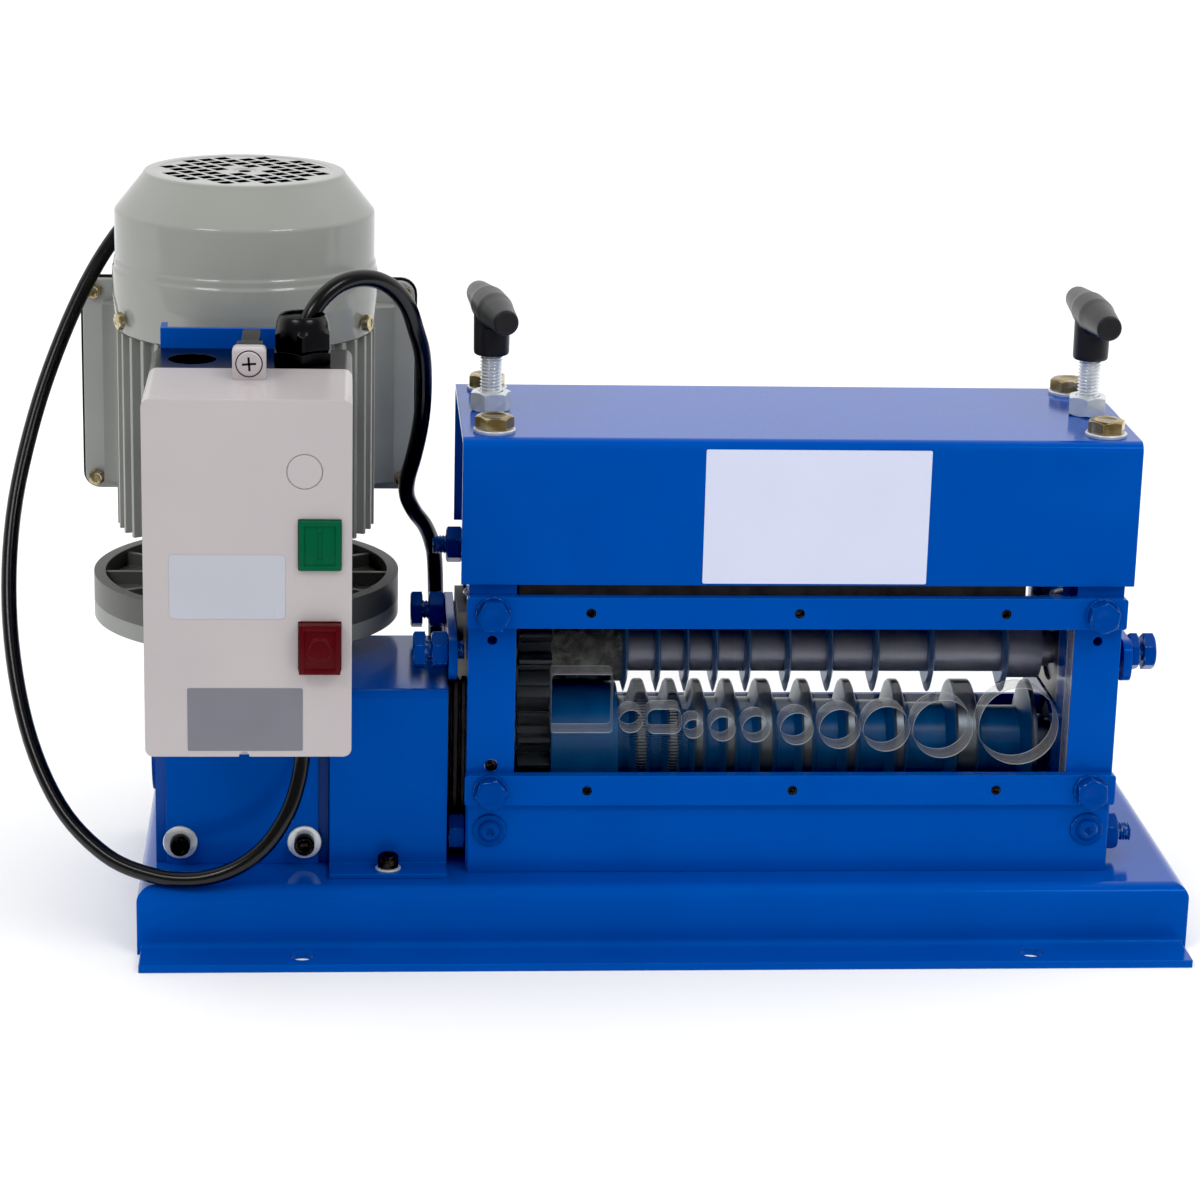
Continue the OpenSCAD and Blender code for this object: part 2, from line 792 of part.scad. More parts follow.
module tie_rods() {
    out = m10_nut + tie_end;
    color("silver") {
        rod_x(xl_out - out, xr_out + out, tie_back_y, tie_back_z, tie_d / 2);
        rod_x(xl_out - m10_nut, xr_out + out, tie_front_y, tie_front_z, tie_d / 2);
    }
}

// Outer face of the strap on one side
function strap_face(side) =
    side < 0 ? xl_out - block_out - clear - strap_t : xr_out + block_out + clear + strap_t;

module hex_nuts() {
    color("silver") {
        for (p = [[tie_back_y, tie_back_z], [tie_front_y, tie_front_z]]) {
            along_minus_x([xl_out, p[0], p[1]]) hex_nut(m10 + 2 * fit, m10_af, m10_nut);
            along_x([xr_out, p[0], p[1]]) hex_nut(m10 + 2 * fit, m10_af, m10_nut);
        }
        for (s = [-1, 1]) {
            y = axis_y + s * strap_span / 2;
            z = z_blade + strap_bolt_lift;
            along_minus_x([strap_face(-1), y, z]) hex_nut(m10 + 2 * fit, m10_af, m10_nut);
            along_x([strap_face(1), y, z]) hex_nut(m10 + 2 * fit, m10_af, m10_nut);
        }
    }
}

module lock_nuts() {
    color("silver")
        for (x = plate_mids)
            translate([x, axis_y, z_cover]) rotate([0, 0, 30]) hex_nut(m10 + 2 * run, m10_af, m10_nut);
}

module frame_bolts() {
    strap_out = block_out + clear + strap_t + m10_nut + strap_free;
    color("royalblue") {
        for (x = plate_mids, z = [z_top_bar, z_low_bar])
            along_minus_y([x, y_front - bar_t - washer_t, z])
                hex_bolt(m10, m10_af, m10_head, bar_t + washer_t + thread_depth - 2);
        for (s = [-1, 1]) {
            y = axis_y + s * strap_span / 2;
            z = z_blade + strap_bolt_lift;
            along_minus_x([xl_out - strap_out, y, z])
                hex_bolt(m10, m10_af, m10_head, strap_out + strap_bolt_len - 1);
            along_x([xr_out + strap_out, y, z])
                hex_bolt(m10, m10_af, m10_head, strap_out + strap_bolt_len - 1);
        }
        foot_bolt_places() rotate([180, 0, 0])
            hex_bolt(m10, m10_af, m10_head, base_sheet + foot_bolt_len - 2);
    }
}

module panel_screws() {
    color("dimgray") {
        for (x = plate_mids) {
            along_minus_y([x, y_front - panel_t - screw_washer_t, z_base + panel_screw_rise])
                button_screw(m6, panel_t + screw_washer_t + panel_screw_len - 1);
            along_y([x, y_back + panel_t + screw_washer_t, z_base + panel_screw_rise])
                button_screw(m6, panel_t + screw_washer_t + panel_screw_len - 1);
        }
        for (z = [z_top_bar, z_low_bar])
            guard_screw_places(z) translate([0, 0, -bar_t]) difference() {
                cylinder(d = m5, h = bar_t + guard_screw_len - 1);
                translate([0, 0, -eps]) hexagon(2.5, 2 + eps);
            }
    }
}

module plain_washers() {
    color("silver") {
        for (x = plate_mids) {
            for (z = [z_top_bar, z_low_bar])
                along_minus_y([x, y_front - bar_t, z]) washer(washer_d, m10, washer_t);
            along_minus_y([x, y_front - panel_t, z_base + panel_screw_rise])
                washer(screw_washer_d, m6, screw_washer_t);
            along_y([x, y_back + panel_t, z_base + panel_screw_rise])
                washer(screw_washer_d, m6, screw_washer_t);
            for (s = [-1, 1])
                translate([x, axis_y + s * cover_bolt_span / 2, z_cover])
                    washer(washer_d, m10, washer_t);
        }
        bracket_screw_places() washer(screw_washer_d, m8, screw_washer_t);
    }
}

module top_cover() {
    depth = plate_d + 2 * (slide + cover_sheet);
    long = frame_gap + 2 * (plate_t + cover_over);
    color("royalblue") difference() {
        translate([frame_x + long / 2, axis_y, z_cover - cover_h]) rotate([90, 0, -90])
            linear_extrude(long) difference() {
                fold_top(depth, cover_h, cover_fold);
                translate([0, -eps])
                    fold_top(depth - 2 * cover_sheet, cover_h - cover_sheet + eps, cover_fold - cover_sheet);
            }
        for (x = plate_mids) {
            translate([x, axis_y, z_plate - eps])
                cylinder(d = m10 + 2 * bolt_clear, h = cover_sheet + 2 * eps);
            for (s = [-1, 1])
                translate([x, axis_y + s * cover_bolt_span / 2, z_plate - eps])
                    cylinder(d = m10 + bolt_clear, h = cover_sheet + 2 * eps);
        }
    }
}

module cover_bolts() {
    color("goldenrod")
        for (x = plate_mids, s = [-1, 1])
            translate([x, axis_y + s * cover_bolt_span / 2, z_cover + washer_t]) rotate([0, 0, 30])
                hex_bolt(m10, m10_af, m10_head, washer_t + cover_sheet + thread_depth - 2);
}

// One strap: a plate with round ends over the bearing block
module strap(side) {
    x0 = side < 0 ? strap_face(-1) : strap_face(1) - strap_t;
    color("royalblue") difference() {
        translate([x0, axis_y, z_blade + strap_lift]) rotate([90, 0, 90])
            linear_extrude(strap_t) round_rect(strap_span + 2 * strap_end, strap_h, 8);
        for (s = [-1, 1])
            rod_x(x0 - eps, x0 + strap_t + eps, axis_y + s * strap_span / 2,
                  z_blade + strap_bolt_lift, m10 / 2 + clear);
    }
}

module bearing_straps() {
    strap(-1);
    strap(1);
}

module bearing_block(side) {
    x0 = side < 0 ? xl_out - block_out : xr_in;
    x1 = side < 0 ? xl_in : xr_out + block_out;
    mid = side < 0 ? xl_mid : xr_mid;
    difference() {
        block([x0, axis_y - block_w / 2, block_z0], [x1, axis_y + block_w / 2, block_z1]);
        rod_x(side < 0 ? x1 - pocket_depth : x0 - eps, side < 0 ? x1 + eps : x0 + pocket_depth,
              axis_y, z_blade, blade_bearing_r + fit);
        translate([mid, axis_y, block_z1 - stud_pin - clear])
            cylinder(r = stud_pin_r + run, h = stud_pin + clear + eps);
    }
}

module bearing_blocks() {
    color("slategray") {
        bearing_block(-1);
        bearing_block(1);
    }
}

// Each ball bearing is one ring, set back from the frame's inner face
module blade_bearings() {
    bore = blade_journal_r + run;
    color("lightgray")
        for (x = [xl_in - bearing_recess - blade_bearing_w, xr_in + bearing_recess])
            ring_x(x, x + blade_bearing_w, axis_y, z_blade, blade_bearing_r, bore);
}

module shaft_bearings() {
    out = motor_x + output_bearing_x - feed_bearing_w;
    color("lightgray") {
        for (x = [xl_in - bearing_recess - feed_bearing_w, xr_in + bearing_recess])
            ring_x(x, x + feed_bearing_w, axis_y, z_feed, feed_bearing_r, feed_journal_r + run);
        for (x = [motor_x - output_bearing_x, out])
            ring_x(x, x + feed_bearing_w, axis_y, z_feed, feed_bearing_r, wheel_shaft_r + run);
    }
}

// A tube along centre points: rings square to the path, closed by its two ends
function unit(v) = v / norm(v);
function tangent(p, i) = unit(p[min(i + 1, len(p) - 1)] - p[max(i - 1, 0)]);
function side_of(t, n) = unit(n - (n * t) * t);
function sides_along(p, n0) = [
    for (i = 0, n = side_of(tangent(p, 0), n0); i < len(p);
         i = i + 1, n = i < len(p) ? side_of(tangent(p, i), n) : n) n
];
module tube(p, r, sides, n0) {
    normals = sides_along(p, n0);
    count = len(p);
    points = [
        for (i = [0 : count - 1], k = [0 : sides - 1])
            let (t = tangent(p, i), n = normals[i], b = cross(t, n))
                p[i] + r * cos(360 * k / sides) * n + r * sin(360 * k / sides) * b
    ];
    walls = [
        for (i = [0 : count - 2], k = [0 : sides - 1])
            let (a = i * sides + k, b = i * sides + (k + 1) % sides)
                each [[a, a + sides, b], [b, a + sides, b + sides]]
    ];
    caps = [
        for (k = [1 : sides - 2])
            let (e = (count - 1) * sides) each [[0, k, k + 1], [e, e + k + 1, e + k]]
    ];
    polyhedron(points, concat(walls, caps));
}

// Least distance between points of a path that lie more than some steps apart
function least_gap(p, apart) = min([
    for (i = [0 : len(p) - 1], j = [i + apart : 1 : len(p) - 1]) norm(p[i] - p[j])
]);

// Centre points of a blade spring with closed end turns
spring_rings = 8;
spring_z0 = block_z1 + clear + spring_wire / 2;
spring_z1 = window_z1 - clear - spring_wire / 2;
spring_end_turn = 0.9;
spring_end_rise = spring_wire + 0.7;
function spring_height(u) =
    u < spring_end_turn ? u / spring_end_turn * spring_end_rise
    : u > spring_turns - spring_end_turn
        ? spring_z1 - spring_z0 - (spring_turns - u) / spring_end_turn * spring_end_rise
    : spring_end_rise + (u - spring_end_turn) / (spring_turns - 2 * spring_end_turn)
        * (spring_z1 - spring_z0 - 2 * spring_end_rise);
function spring_path(x) = [
    for (k = [0 : spring_rings * spring_turns])
        let (u = k / spring_rings, r = (spring_d - spring_wire) / 2)
            [x + r * cos(360 * u), axis_y + r * sin(360 * u), spring_z0 + spring_height(u)]
];
echo(blade_springs_least_gap = least_gap(spring_path(0), 5) - spring_wire);

module blade_springs() {
    color("gray")
        for (x = plate_mids)
            tube(spring_path(x), spring_wire / 2, 6, [0, 0, 1]);
}

// A moulded T handle: a boss on the stud and a barrelled bar with slim ends
module t_handle(x, turn) {
    half = handle_len / 2;
    mid_r = handle_mid_d / 2;
    end_r = handle_end_d / 2;
    color([0.12, 0.12, 0.13]) translate([x, axis_y, 0]) rotate([0, 0, turn]) difference() {
        union() {
            translate([0, 0, z_boss]) cylinder(d = handle_boss_d - 3, h = 3);
            translate([0, 0, z_boss + 2]) cylinder(d = handle_boss_d, h = z_bar - z_boss - 4);
            translate([0, -half, z_bar]) rotate([-90, 0, 0]) rotate_extrude() polygon([
                [0, 0], [end_r - 0.8, 0], [end_r, 0.8], [end_r + 0.6, half - 17], [mid_r, half - 11],
                [mid_r, half + 11], [end_r + 0.6, half + 17], [end_r, 2 * half - 0.8],
                [end_r - 0.8, 2 * half], [0, 2 * half]
            ]);
        }
        translate([0, 0, z_boss - eps]) cylinder(d = m10 + 2 * fit, h = stud_in + eps);
    }
}

module left_handle() {
    t_handle(xl_mid, left_turn);
}

module right_handle() {
    t_handle(xr_mid, right_turn);
}

// The stud that carries a bearing block: thread above, turning pin below
module stud(x) {
    color("silver") translate([x, axis_y, 0]) {
        translate([0, 0, block_z1]) cylinder(d = m10, h = z_boss + stud_in - block_z1);
        translate([0, 0, block_z1 - stud_pin]) cylinder(r = stud_pin_r, h = stud_pin + eps);
    }
}

module left_stud() {
    stud(xl_mid);
}

module right_stud() {
    stud(xr_mid);
}

module blade_shaft() {
    color("gray") {
        rod_x(xl_in - journal_depth, xr_in + journal_depth, axis_y, z_blade, blade_journal_r);
        rod_x(xl_in + 1, xr_in - 1, axis_y, z_blade, blade_shaft_r);
    }
}

// One disc blade ground to an edge on both faces
module disc_blade(x) {
    bore = blade_shaft_r + fit;
    along_x([x, axis_y, z_blade]) rotate_extrude()
        polygon([
            [bore, -blade_t / 2], [blade_r - blade_edge, -blade_t / 2], [blade_r, 0],
            [blade_r - blade_edge, blade_t / 2], [bore, blade_t / 2]
        ]);
}

module disc_blades() {
    color("lightgray")
        for (x = blade_xs)
            disc_blade(x);
}

module blade_spacers() {
    color("gray") {
        for (i = [0 : last - 1])
            ring_x(blade_xs[i] + blade_t / 2, blade_xs[i + 1] - blade_t / 2, axis_y, z_blade,
                   spacer_r, blade_shaft_r + fit);
        ring_x(spacer_x1, spacer_x1 + collar_len, axis_y, z_blade, collar_r, blade_shaft_r + fit);
    }
}

module knurled_roller() {
    color("dimgray")
        ring_x(roller_x0, blade_xs[0] - blade_t / 2, axis_y, z_blade, knurl_r, blade_shaft_r + fit);
}

// A spur gear about +X; phase turns its first tooth from straight up
module spur_gear(z, bore, phase) {
    along_x([gear_x, axis_y, z]) rotate([0, 0, 180 + phase]) difference() {
        linear_extrude(gear_w) polygon(gear_outline());
        translate([0, 0, -eps]) cylinder(r = bore + fit, h = gear_w + 2 * eps);
    }
}

module upper_gear() {
    color("dimgray") spur_gear(z_blade, blade_shaft_r, 0);
}

module lower_gear() {
    color("dimgray") spur_gear(z_feed, feed_shaft_r, 180 / gear_z);
}

module feed_shaft() {
    color("gray") {
        rod_x(coupling_mid + coupling_gap / 2, xr_in + journal_depth, axis_y, z_feed, feed_journal_r);
        rod_x(xl_in + 1, xr_in - 1, axis_y, z_feed, feed_shaft_r);
    }
}

// Section of one groove, from the ridge down to its flat bottom
module groove(half, deep) {
    bottom = max(half - groove_slope * deep, 1);
    polygon([
        [0, -half - ridge_round], [-ridge_round, -half], [-deep, -bottom],
        [-deep, bottom], [-ridge_round, half], [0, half + ridge_round],
        [eps, half + ridge_round], [eps, -half - ridge_round]
    ]);
}

module feed_roller() {
    bore = feed_shaft_r + fit;
    color("silver") along_x([roller_x0, axis_y, z_feed]) rotate_extrude() difference() {
        translate([bore, 0]) square([roller_r - bore, roller_x1 - roller_x0]);
        translate([plain_r, -eps]) square([roller_r, blade_xs[0] - roller_x0 + eps]);
        for (i = [0 : last])
            translate([roller_r, blade_xs[i] - roller_x0]) groove(groove_half(i), groove_deep(i));
    }
}

module coupling() {
    color("dimgray")
        ring_x(coupling_x0, coupling_x1, axis_y, z_feed, coupling_r, feed_journal_r + fit);
}

// The worm wheel on its output shaft
module worm_wheel() {
    hub = output_bearing_x - feed_bearing_w - 1;
    color("peru") {
        rod_x(motor_x - wheel_w / 2, motor_x + wheel_w / 2, axis_y, z_feed, wheel_r);
        rod_x(motor_x - hub, motor_x + hub, axis_y, z_feed, wheel_hub_r);
        rod_x(motor_x - output_bearing_x, coupling_mid - coupling_gap / 2, axis_y, z_feed, wheel_shaft_r);
    }
}

module gearbox_housing() {
    half = gearbox_w / 2;
    cap = 3;
    worm_floor = z_feed - worm_half - 10;
    color("silver") difference() {
        union() {
            rod_x(motor_x - half, motor_x + half, axis_y, z_feed, gearbox_r);
            // Foot and front pad
            block([motor_x - half, axis_y - gearbox_front, z_base],
                  [motor_x + half, motor_y + worm_case_r - 6, z_base + 16]);
            block([motor_x - half, axis_y - gearbox_front, z_base],
                  [motor_x + half, axis_y - gearbox_front + 14, z_feed + 20]);
            // Worm case, its flare and the input ring
            at_motor(z_base) cylinder(r = worm_case_r, h = ring_rise + 1);
            at_motor(z_ring - 22)
                cylinder(r1 = worm_case_r, r2 = worm_case_r + 24, h = 22.5);
            at_motor(z_ring) cylinder(r = flange_r, h = ring_t);
            // Hub rings round the output bearings
            rod_x(motor_x - half - cap, motor_x + half + cap, axis_y, z_feed, feed_bearing_r + 6);
        }
        rod_x(motor_x - wheel_w / 2 - 3, motor_x + wheel_w / 2 + 3, axis_y, z_feed, wheel_r + 3);
        rod_x(motor_x - output_bearing_x - fit, motor_x + output_bearing_x + fit, axis_y, z_feed,
              feed_bearing_r + fit);
        rod_x(motor_x, motor_x + half + cap + eps, axis_y, z_feed, wheel_shaft_r + 1);
        at_motor(z_feed - worm_half - clear)
            cylinder(r = worm_r + 3, h = 2 * worm_half + 2 * clear);
        at_motor(worm_floor - clear)
            cylinder(r = worm_journal_r + run, h = 2 * worm_half);
        at_motor(z_feed)
            cylinder(r = worm_sleeve_r + run, h = z_flange - z_feed + eps);
        flange_bolt_places() translate([0, 0, -ring_t - eps])
            cylinder(d = m8 + 2 * fit, h = ring_t + 2 * eps);
        bracket_screw_places() translate([0, 0, -bracket_t - screw_washer_t - 14])
            cylinder(d = m8 + 2 * fit, h = 16);
    }
}

// The worm on its hollow input shaft
module worm() {
    top = z_flange - 2;
    color("gray") at_motor(0) difference() {
        union() {
            translate([0, 0, z_feed - worm_half - 10]) cylinder(r = worm_journal_r, h = worm_half);
            translate([0, 0, z_feed - worm_half]) cylinder(r = worm_r, h = 2 * worm_half);
            translate([0, 0, z_feed + worm_half - eps])
                cylinder(r = worm_sleeve_r, h = top - z_feed - worm_half + eps);
        }
        translate([0, 0, top - shaft_in]) cylinder(r = motor_shaft_r + fit, h = shaft_in + eps);
    }
}

module flange_bolt_places() {
    for (k = [0 : 3])
        at_motor(z_flange) rotate([0, 0, 45 + 90 * k])
            translate([flange_bolt_pcd / 2, 0, 0]) children();
}

// The motor's end shield: a round flange with a rim, radial ribs and a neck
module motor_flange() {
    color("silver") difference() {
        union() {
            at_motor(z_flange) rotate_extrude() difference() {
                square([flange_r, flange_t]);
                translate([neck_r, flange_floor])
                    square([flange_r - flange_rim - neck_r, flange_t]);
            }
            at_motor(z_flange) cylinder(r = neck_r, h = flange_t + neck_h);
            for (k = [0 : flange_ribs - 1])
                at_motor(z_flange) rotate([0, 0, k * 360 / flange_ribs])
                    translate([neck_r - 1, -flange_rib_t / 2, 0])
                        cube([flange_r - flange_rim - neck_r + 2, flange_rib_t, flange_t - 2]);
        }
        at_motor(z_flange - eps)
            cylinder(r = worm_sleeve_r + 3, h = flange_t + neck_h + 2 * eps);
        flange_bolt_places() translate([0, 0, -eps]) cylinder(d = m8 + bolt_clear, h = flange_t);
    }
}

module flange_bolts() {
    color("silver")
        flange_bolt_places() translate([0, 0, flange_floor])
            hex_bolt(m8, 13, 5.3, flange_floor + ring_t - 1);
}

// The finned motor housing with its saddle for the terminal box
module motor_housing() {
    wall_r = housing_r - fin_h;
    saddle_gap = 62;
    color("darkgray") difference() {
        union() {
            at_motor(z_housing) {
                translate([0, 0, 8]) cylinder(r = wall_r, h = housing_h - 8);
                cylinder(r1 = neck_r + 2, r2 = wall_r, h = 8);
                translate([0, 0, housing_h]) cylinder(r = fan_spigot_r, h = fan_spigot_h);
                for (k = [0 : fin_count - 1])
                    let (a = (k + 0.5) * 360 / fin_count)
                        if (abs(a - 90) > saddle_gap)
                            rotate([0, 0, a]) translate([wall_r - 2, -fin_t / 2, 8])
                                cube([fin_h + 2, fin_t, housing_h - 8]);
            }
            translate([motor_x, saddle_y, z_housing + saddle_low]) rotate([0, 0, 180])
                linear_extrude(housing_h - saddle_low - saddle_top) saddle_section();
        }
        // Room for the rotor, and the shaft's way through both ends
        at_motor(z_housing - eps)
            cylinder(r = motor_shaft_r + 2, h = housing_h + fan_spigot_h + 2 * eps);
        at_motor(z_housing + housing_h / 2 - rotor_half - 6)
            cylinder(r = rotor_r + 0.5, h = 2 * rotor_half + 12);
        fan_screw_places() translate([0, 0, -eps - 10]) cylinder(d = m5 + 2 * fit, h = 12 + eps);
        terminal_screw_places() translate([0, 0, -eps - 12]) cylinder(d = m5 + 2 * fit, h = 14 + eps);
    }
}

// Plan of the saddle: as wide as the box at its back, drawn in by two hollows to the housing
module saddle_section() {
    w = terminal_w - 2 * terminal_step;
    deep = housing_r - fin_h;
    hollow = 20;
    difference() {
        translate([-w / 2, 0]) square([w, deep]);
        for (s = [-1, 1])
            translate([s * w / 2, hollow + 12]) {
                circle(hollow);
                translate([-hollow, 0]) square([2 * hollow, deep]);
            }
    }
}

// Screws in the fan cover's skirt, in the housing's spigot
module fan_screw_places() {
    for (k = [0 : 3])
        at_motor(z_fan + fan_screw_rise) rotate([0, 0, fan_screw_angles[k]])
            rotate([0, 90, 0]) translate([0, 0, fan_spigot_r]) children();
}

module motor_rotor() {
    z0 = z_flange - 2 - shaft_in + 1;
    mid = z_housing + housing_h / 2;
    color("gray") at_motor(0) {
        translate([0, 0, z0]) cylinder(r = motor_shaft_r, h = z_fan + 46 - z0);
        translate([0, 0, mid - rotor_half]) cylinder(r = rotor_r, h = 2 * rotor_half);
    }
}

// The cooling fan under the grille: a hub with straight radial vanes
module cooling_fan() {
    hub_r = 16;
    vane_r = 50;
    vanes = 8;
    z0 = z_fan + fan_spigot_h + 8;
    color("dimgray") at_motor(z0) difference() {
        union() {
            cylinder(r = hub_r, h = 24);
            cylinder(r = vane_r, h = 2);
            for (k = [0 : vanes - 1])
                rotate([0, 0, k * 360 / vanes]) translate([hub_r - 2, -1.2, 0])
                    cube([vane_r - hub_r + 2, 2.4, 22]);
        }
        translate([0, 0, -eps]) cylinder(r = motor_shaft_r + fit, h = 24 + 2 * eps);
    }
}

// Radius of the fan cover against its height: skirt, bead, straight wall and shoulder
function fan_profile(in) = [
    [housing_r - 0.6 - in, 0], [housing_r + 1.2 - in, 17], [housing_r + 1.2 - in, 31],
    [housing_r - 0.2 - in, 37], [housing_r - 0.2 - in, 60.5], [fan_top_r + 1.2 - in, fan_cover_h - 2 - in],
    [fan_top_r - in, fan_cover_h - in], [0, fan_cover_h - in]
];

module grille_holes() {
    rows = ceil(fan_top_r / grille_step);
    for (i = [-rows : rows], j = [-rows : rows])
        let (r = grille_step * norm([i, j]))
            if (r < fan_top_r - grille_hole && r > 11)
                translate([i * grille_step - grille_hole / 2, j * grille_step - grille_hole / 2, 0])
                    cube([grille_hole, grille_hole, 3 * fan_sheet]);
}

module fan_cover() {
    color("darkgray") difference() {
        at_motor(z_fan + clear) rotate_extrude() difference() {
            polygon(concat([[0, 0]], fan_profile(0)));
            polygon(concat([[0, -eps], [housing_r - 0.6 - fan_sheet, -eps]], fan_profile(fan_sheet)));
        }
        at_motor(z_motor - 2 * fan_sheet) rotate([0, 0, 33]) grille_holes();
        at_motor(z_motor - 2 * fan_sheet) cylinder(r = 3, h = 3 * fan_sheet);
        fan_screw_places() translate([0, 0, -eps]) cylinder(d = m5 + bolt_clear, h = 12);
    }
}

// Corner screws of the terminal box
module terminal_screw_places() {
    for (sx = [-1, 1], sz = [-1, 1])
        translate([motor_x + sx * (terminal_w / 2 - terminal_screw_in), saddle_y,
                   terminal_z + sz * (terminal_h / 2 - terminal_screw_in)])
            rotate([90, 0, 0]) children();
}

module motor_screws() {
    color("goldenrod") {
        fan_screw_places() translate([0, 0, 4.2]) hex_bolt(m5, 8, 3.5, 12);
        terminal_screw_places() hex_bolt(m5, 8, 3, terminal_plate - 1);
    }
}

// The terminal box: a flange against the saddle and a hollow hood behind it
module terminal_box() {
    y0 = saddle_y;
    wall = terminal_wall;
    hood_w = terminal_w - 2 * terminal_step;
    hood_h = terminal_h - 2 * terminal_step;
    color("darkgray") difference() {
        union() {
            translate([motor_x, y0 + terminal_plate, terminal_z]) rotate([90, 0, 0])
                linear_extrude(terminal_plate) round_rect(terminal_w, terminal_h, terminal_round);
            translate([motor_x, y0 + terminal_plate + terminal_d, terminal_z]) rotate([90, 0, 0])
                linear_extrude(terminal_d) round_rect(hood_w, hood_h, terminal_round);
        }
        translate([motor_x, y0 + terminal_plate + terminal_d - wall, terminal_z]) rotate([90, 0, 0])
            linear_extrude(terminal_d + terminal_plate)
                round_rect(hood_w - 2 * wall, hood_h - 2 * wall, terminal_round - wall);
        terminal_screw_places() translate([0, 0, -terminal_plate - eps])
            cylinder(d = m5 + 2 * fit, h = terminal_plate + 2 * eps);
        translate([terminal_gland_x, terminal_gland_y, terminal_gland_z - 2 * wall])
            cylinder(r = gland_neck_r + fit, h = 3 * wall);
    }
}

module drive_cover() {
    y0 = axis_y - drive_front;
    y1 = axis_y + drive_back;
    color("royalblue") difference() {
        union() {
            translate([drive_x1, (y0 + y1) / 2, z_base]) rotate([90, 0, -90])
                linear_extrude(drive_x1 - drive_x0) difference() {
                    fold_top(y1 - y0, drive_h, 4);
                    translate([0, -eps])
                        fold_top(y1 - y0 - 2 * drive_sheet, drive_h - drive_sheet + eps, 4 - drive_sheet);
                }
            block([drive_x0, y0 - drive_foot, z_base], [drive_x1, y0 + drive_sheet, z_base + drive_sheet]);
            block([drive_x0, y1 - drive_sheet, z_base], [drive_x1, y1 + drive_foot, z_base + drive_sheet]);
        }
        drive_screw_places() translate([0, 0, -drive_sheet - eps])
            cylinder(d = m8 + bolt_clear, h = drive_sheet + 2 * eps);
    }
}

module drive_screw_places() {
    for (y = [axis_y - drive_front - drive_foot / 2, axis_y + drive_back + drive_foot / 2])
        translate([(drive_x0 + drive_x1) / 2, y, z_base + drive_sheet]) children();
}

module bracket_screw_places() {
    for (s = [-1, 1])
        along_minus_y([motor_x + s * 31.5, bracket_y - bracket_t, z_base + 12]) children();
}

module socket_screws() {
    color([0.15, 0.15, 0.16]) {
        bracket_screw_places() translate([0, 0, screw_washer_t])
            cap_screw(m8, bracket_t + screw_washer_t + 12);
        drive_screw_places() cap_screw(m8, drive_sheet);
    }
}

module bracket_plate() {
    color("royalblue") difference() {
        union() {
            block([motor_x - bracket_w / 2, bracket_y - bracket_t, z_base],
                  [motor_x + bracket_w / 2, bracket_y, z_base + bracket_h]);
            // Folded left edge, above the gearbox
            block([motor_x - bracket_w / 2, bracket_y - bracket_t, z_feed + gearbox_r + 2],
                  [motor_x - bracket_w / 2 + bracket_t, bracket_y + bracket_fold, z_base + bracket_h]);
        }
        bracket_screw_places() translate([0, 0, -bracket_t - eps])
            cylinder(d = m8 + bolt_clear, h = bracket_t + 2 * eps);
    }
}

// An upright box with round vertical edges, between two depths
module starter_box(y0, y1, inset) {
    translate([starter_x, y1, (starter_z0 + starter_z1) / 2]) rotate([90, 0, 0])
        linear_extrude(y1 - y0) round_rect(starter_w - 2 * inset, starter_h - 2 * inset, 4 - inset);
}

module starter_base() {
    color([0.1, 0.1, 0.11]) difference() {
        union() {
            starter_box(split_y, starter_y, 0);
            // Tab behind the cover's lug
            block([starter_x - lug_w / 2 + 2, split_y, starter_z1 - starter_wall],
                  [starter_x + lug_w / 2 - 2, split_y + 12, starter_z1 + lug_h + 6]);
        }
        starter_box(split_y - eps, starter_y - starter_wall, starter_wall);
        translate([knockout_x, gland_y, starter_z1 - 2 * starter_wall])
            cylinder(d = knockout_d, h = 3 * starter_wall);
        translate([gland_x, gland_y, starter_z1 - 2 * starter_wall])
            cylinder(r = gland_neck_r + fit, h = 3 * starter_wall);
        translate([gland_x, gland_y, starter_z0 - starter_wall])
            cylinder(r = gland_neck_r + fit, h = 3 * starter_wall);
    }
}

// Opening for one button
module button_hole(z, grow) {
    block([button_x - button_w / 2 - grow, starter_front - eps, z - button_h / 2 - grow],
          [button_x + button_w / 2 + grow, starter_front + starter_wall + eps, z + button_h / 2 + grow]);
}

module starter_cover() {
    color([0.86, 0.84, 0.83]) difference() {
        union() {
            starter_box(starter_front, split_y, 0);
            translate([starter_x, split_y, starter_z1 + lug_h / 2 - 2]) rotate([90, 0, 0])
                linear_extrude(lug_d) round_rect(lug_w, lug_h + 4, 3);
        }
        starter_box(starter_front + starter_wall, split_y + eps, starter_wall);
        for (z = [start_z, stop_z])
            button_hole(z, clear);
        along_y([starter_x, split_y - lug_d - eps, starter_z1 + lug_h / 2])
            cylinder(d = clip_screw_d + 2 * fit, h = 4 + eps);
        // Ring groove of the unused round window
        along_y([button_x - 7, starter_front - eps, start_z + 35]) difference() {
            cylinder(d = 17, h = 0.6 + eps);
            cylinder(d = 16, h = 0.6 + eps);
        }
        // Finger notch in the lower edge
        along_y([starter_x - 2, starter_front - eps, starter_z0])
            cylinder(d = 5, h = starter_wall + 2 * eps);
    }
}

module cover_screw() {
    color([0.84, 0.82, 0.8]) along_y([starter_x, split_y - lug_d, starter_z1 + lug_h / 2]) difference() {
        cylinder(d = clip_screw_d, h = 4);
        for (a = [0, 90])
            rotate([0, 0, a]) translate([-3.5, -0.6, -eps]) cube([7, 1.2, 1.2 + eps]);
    }
}

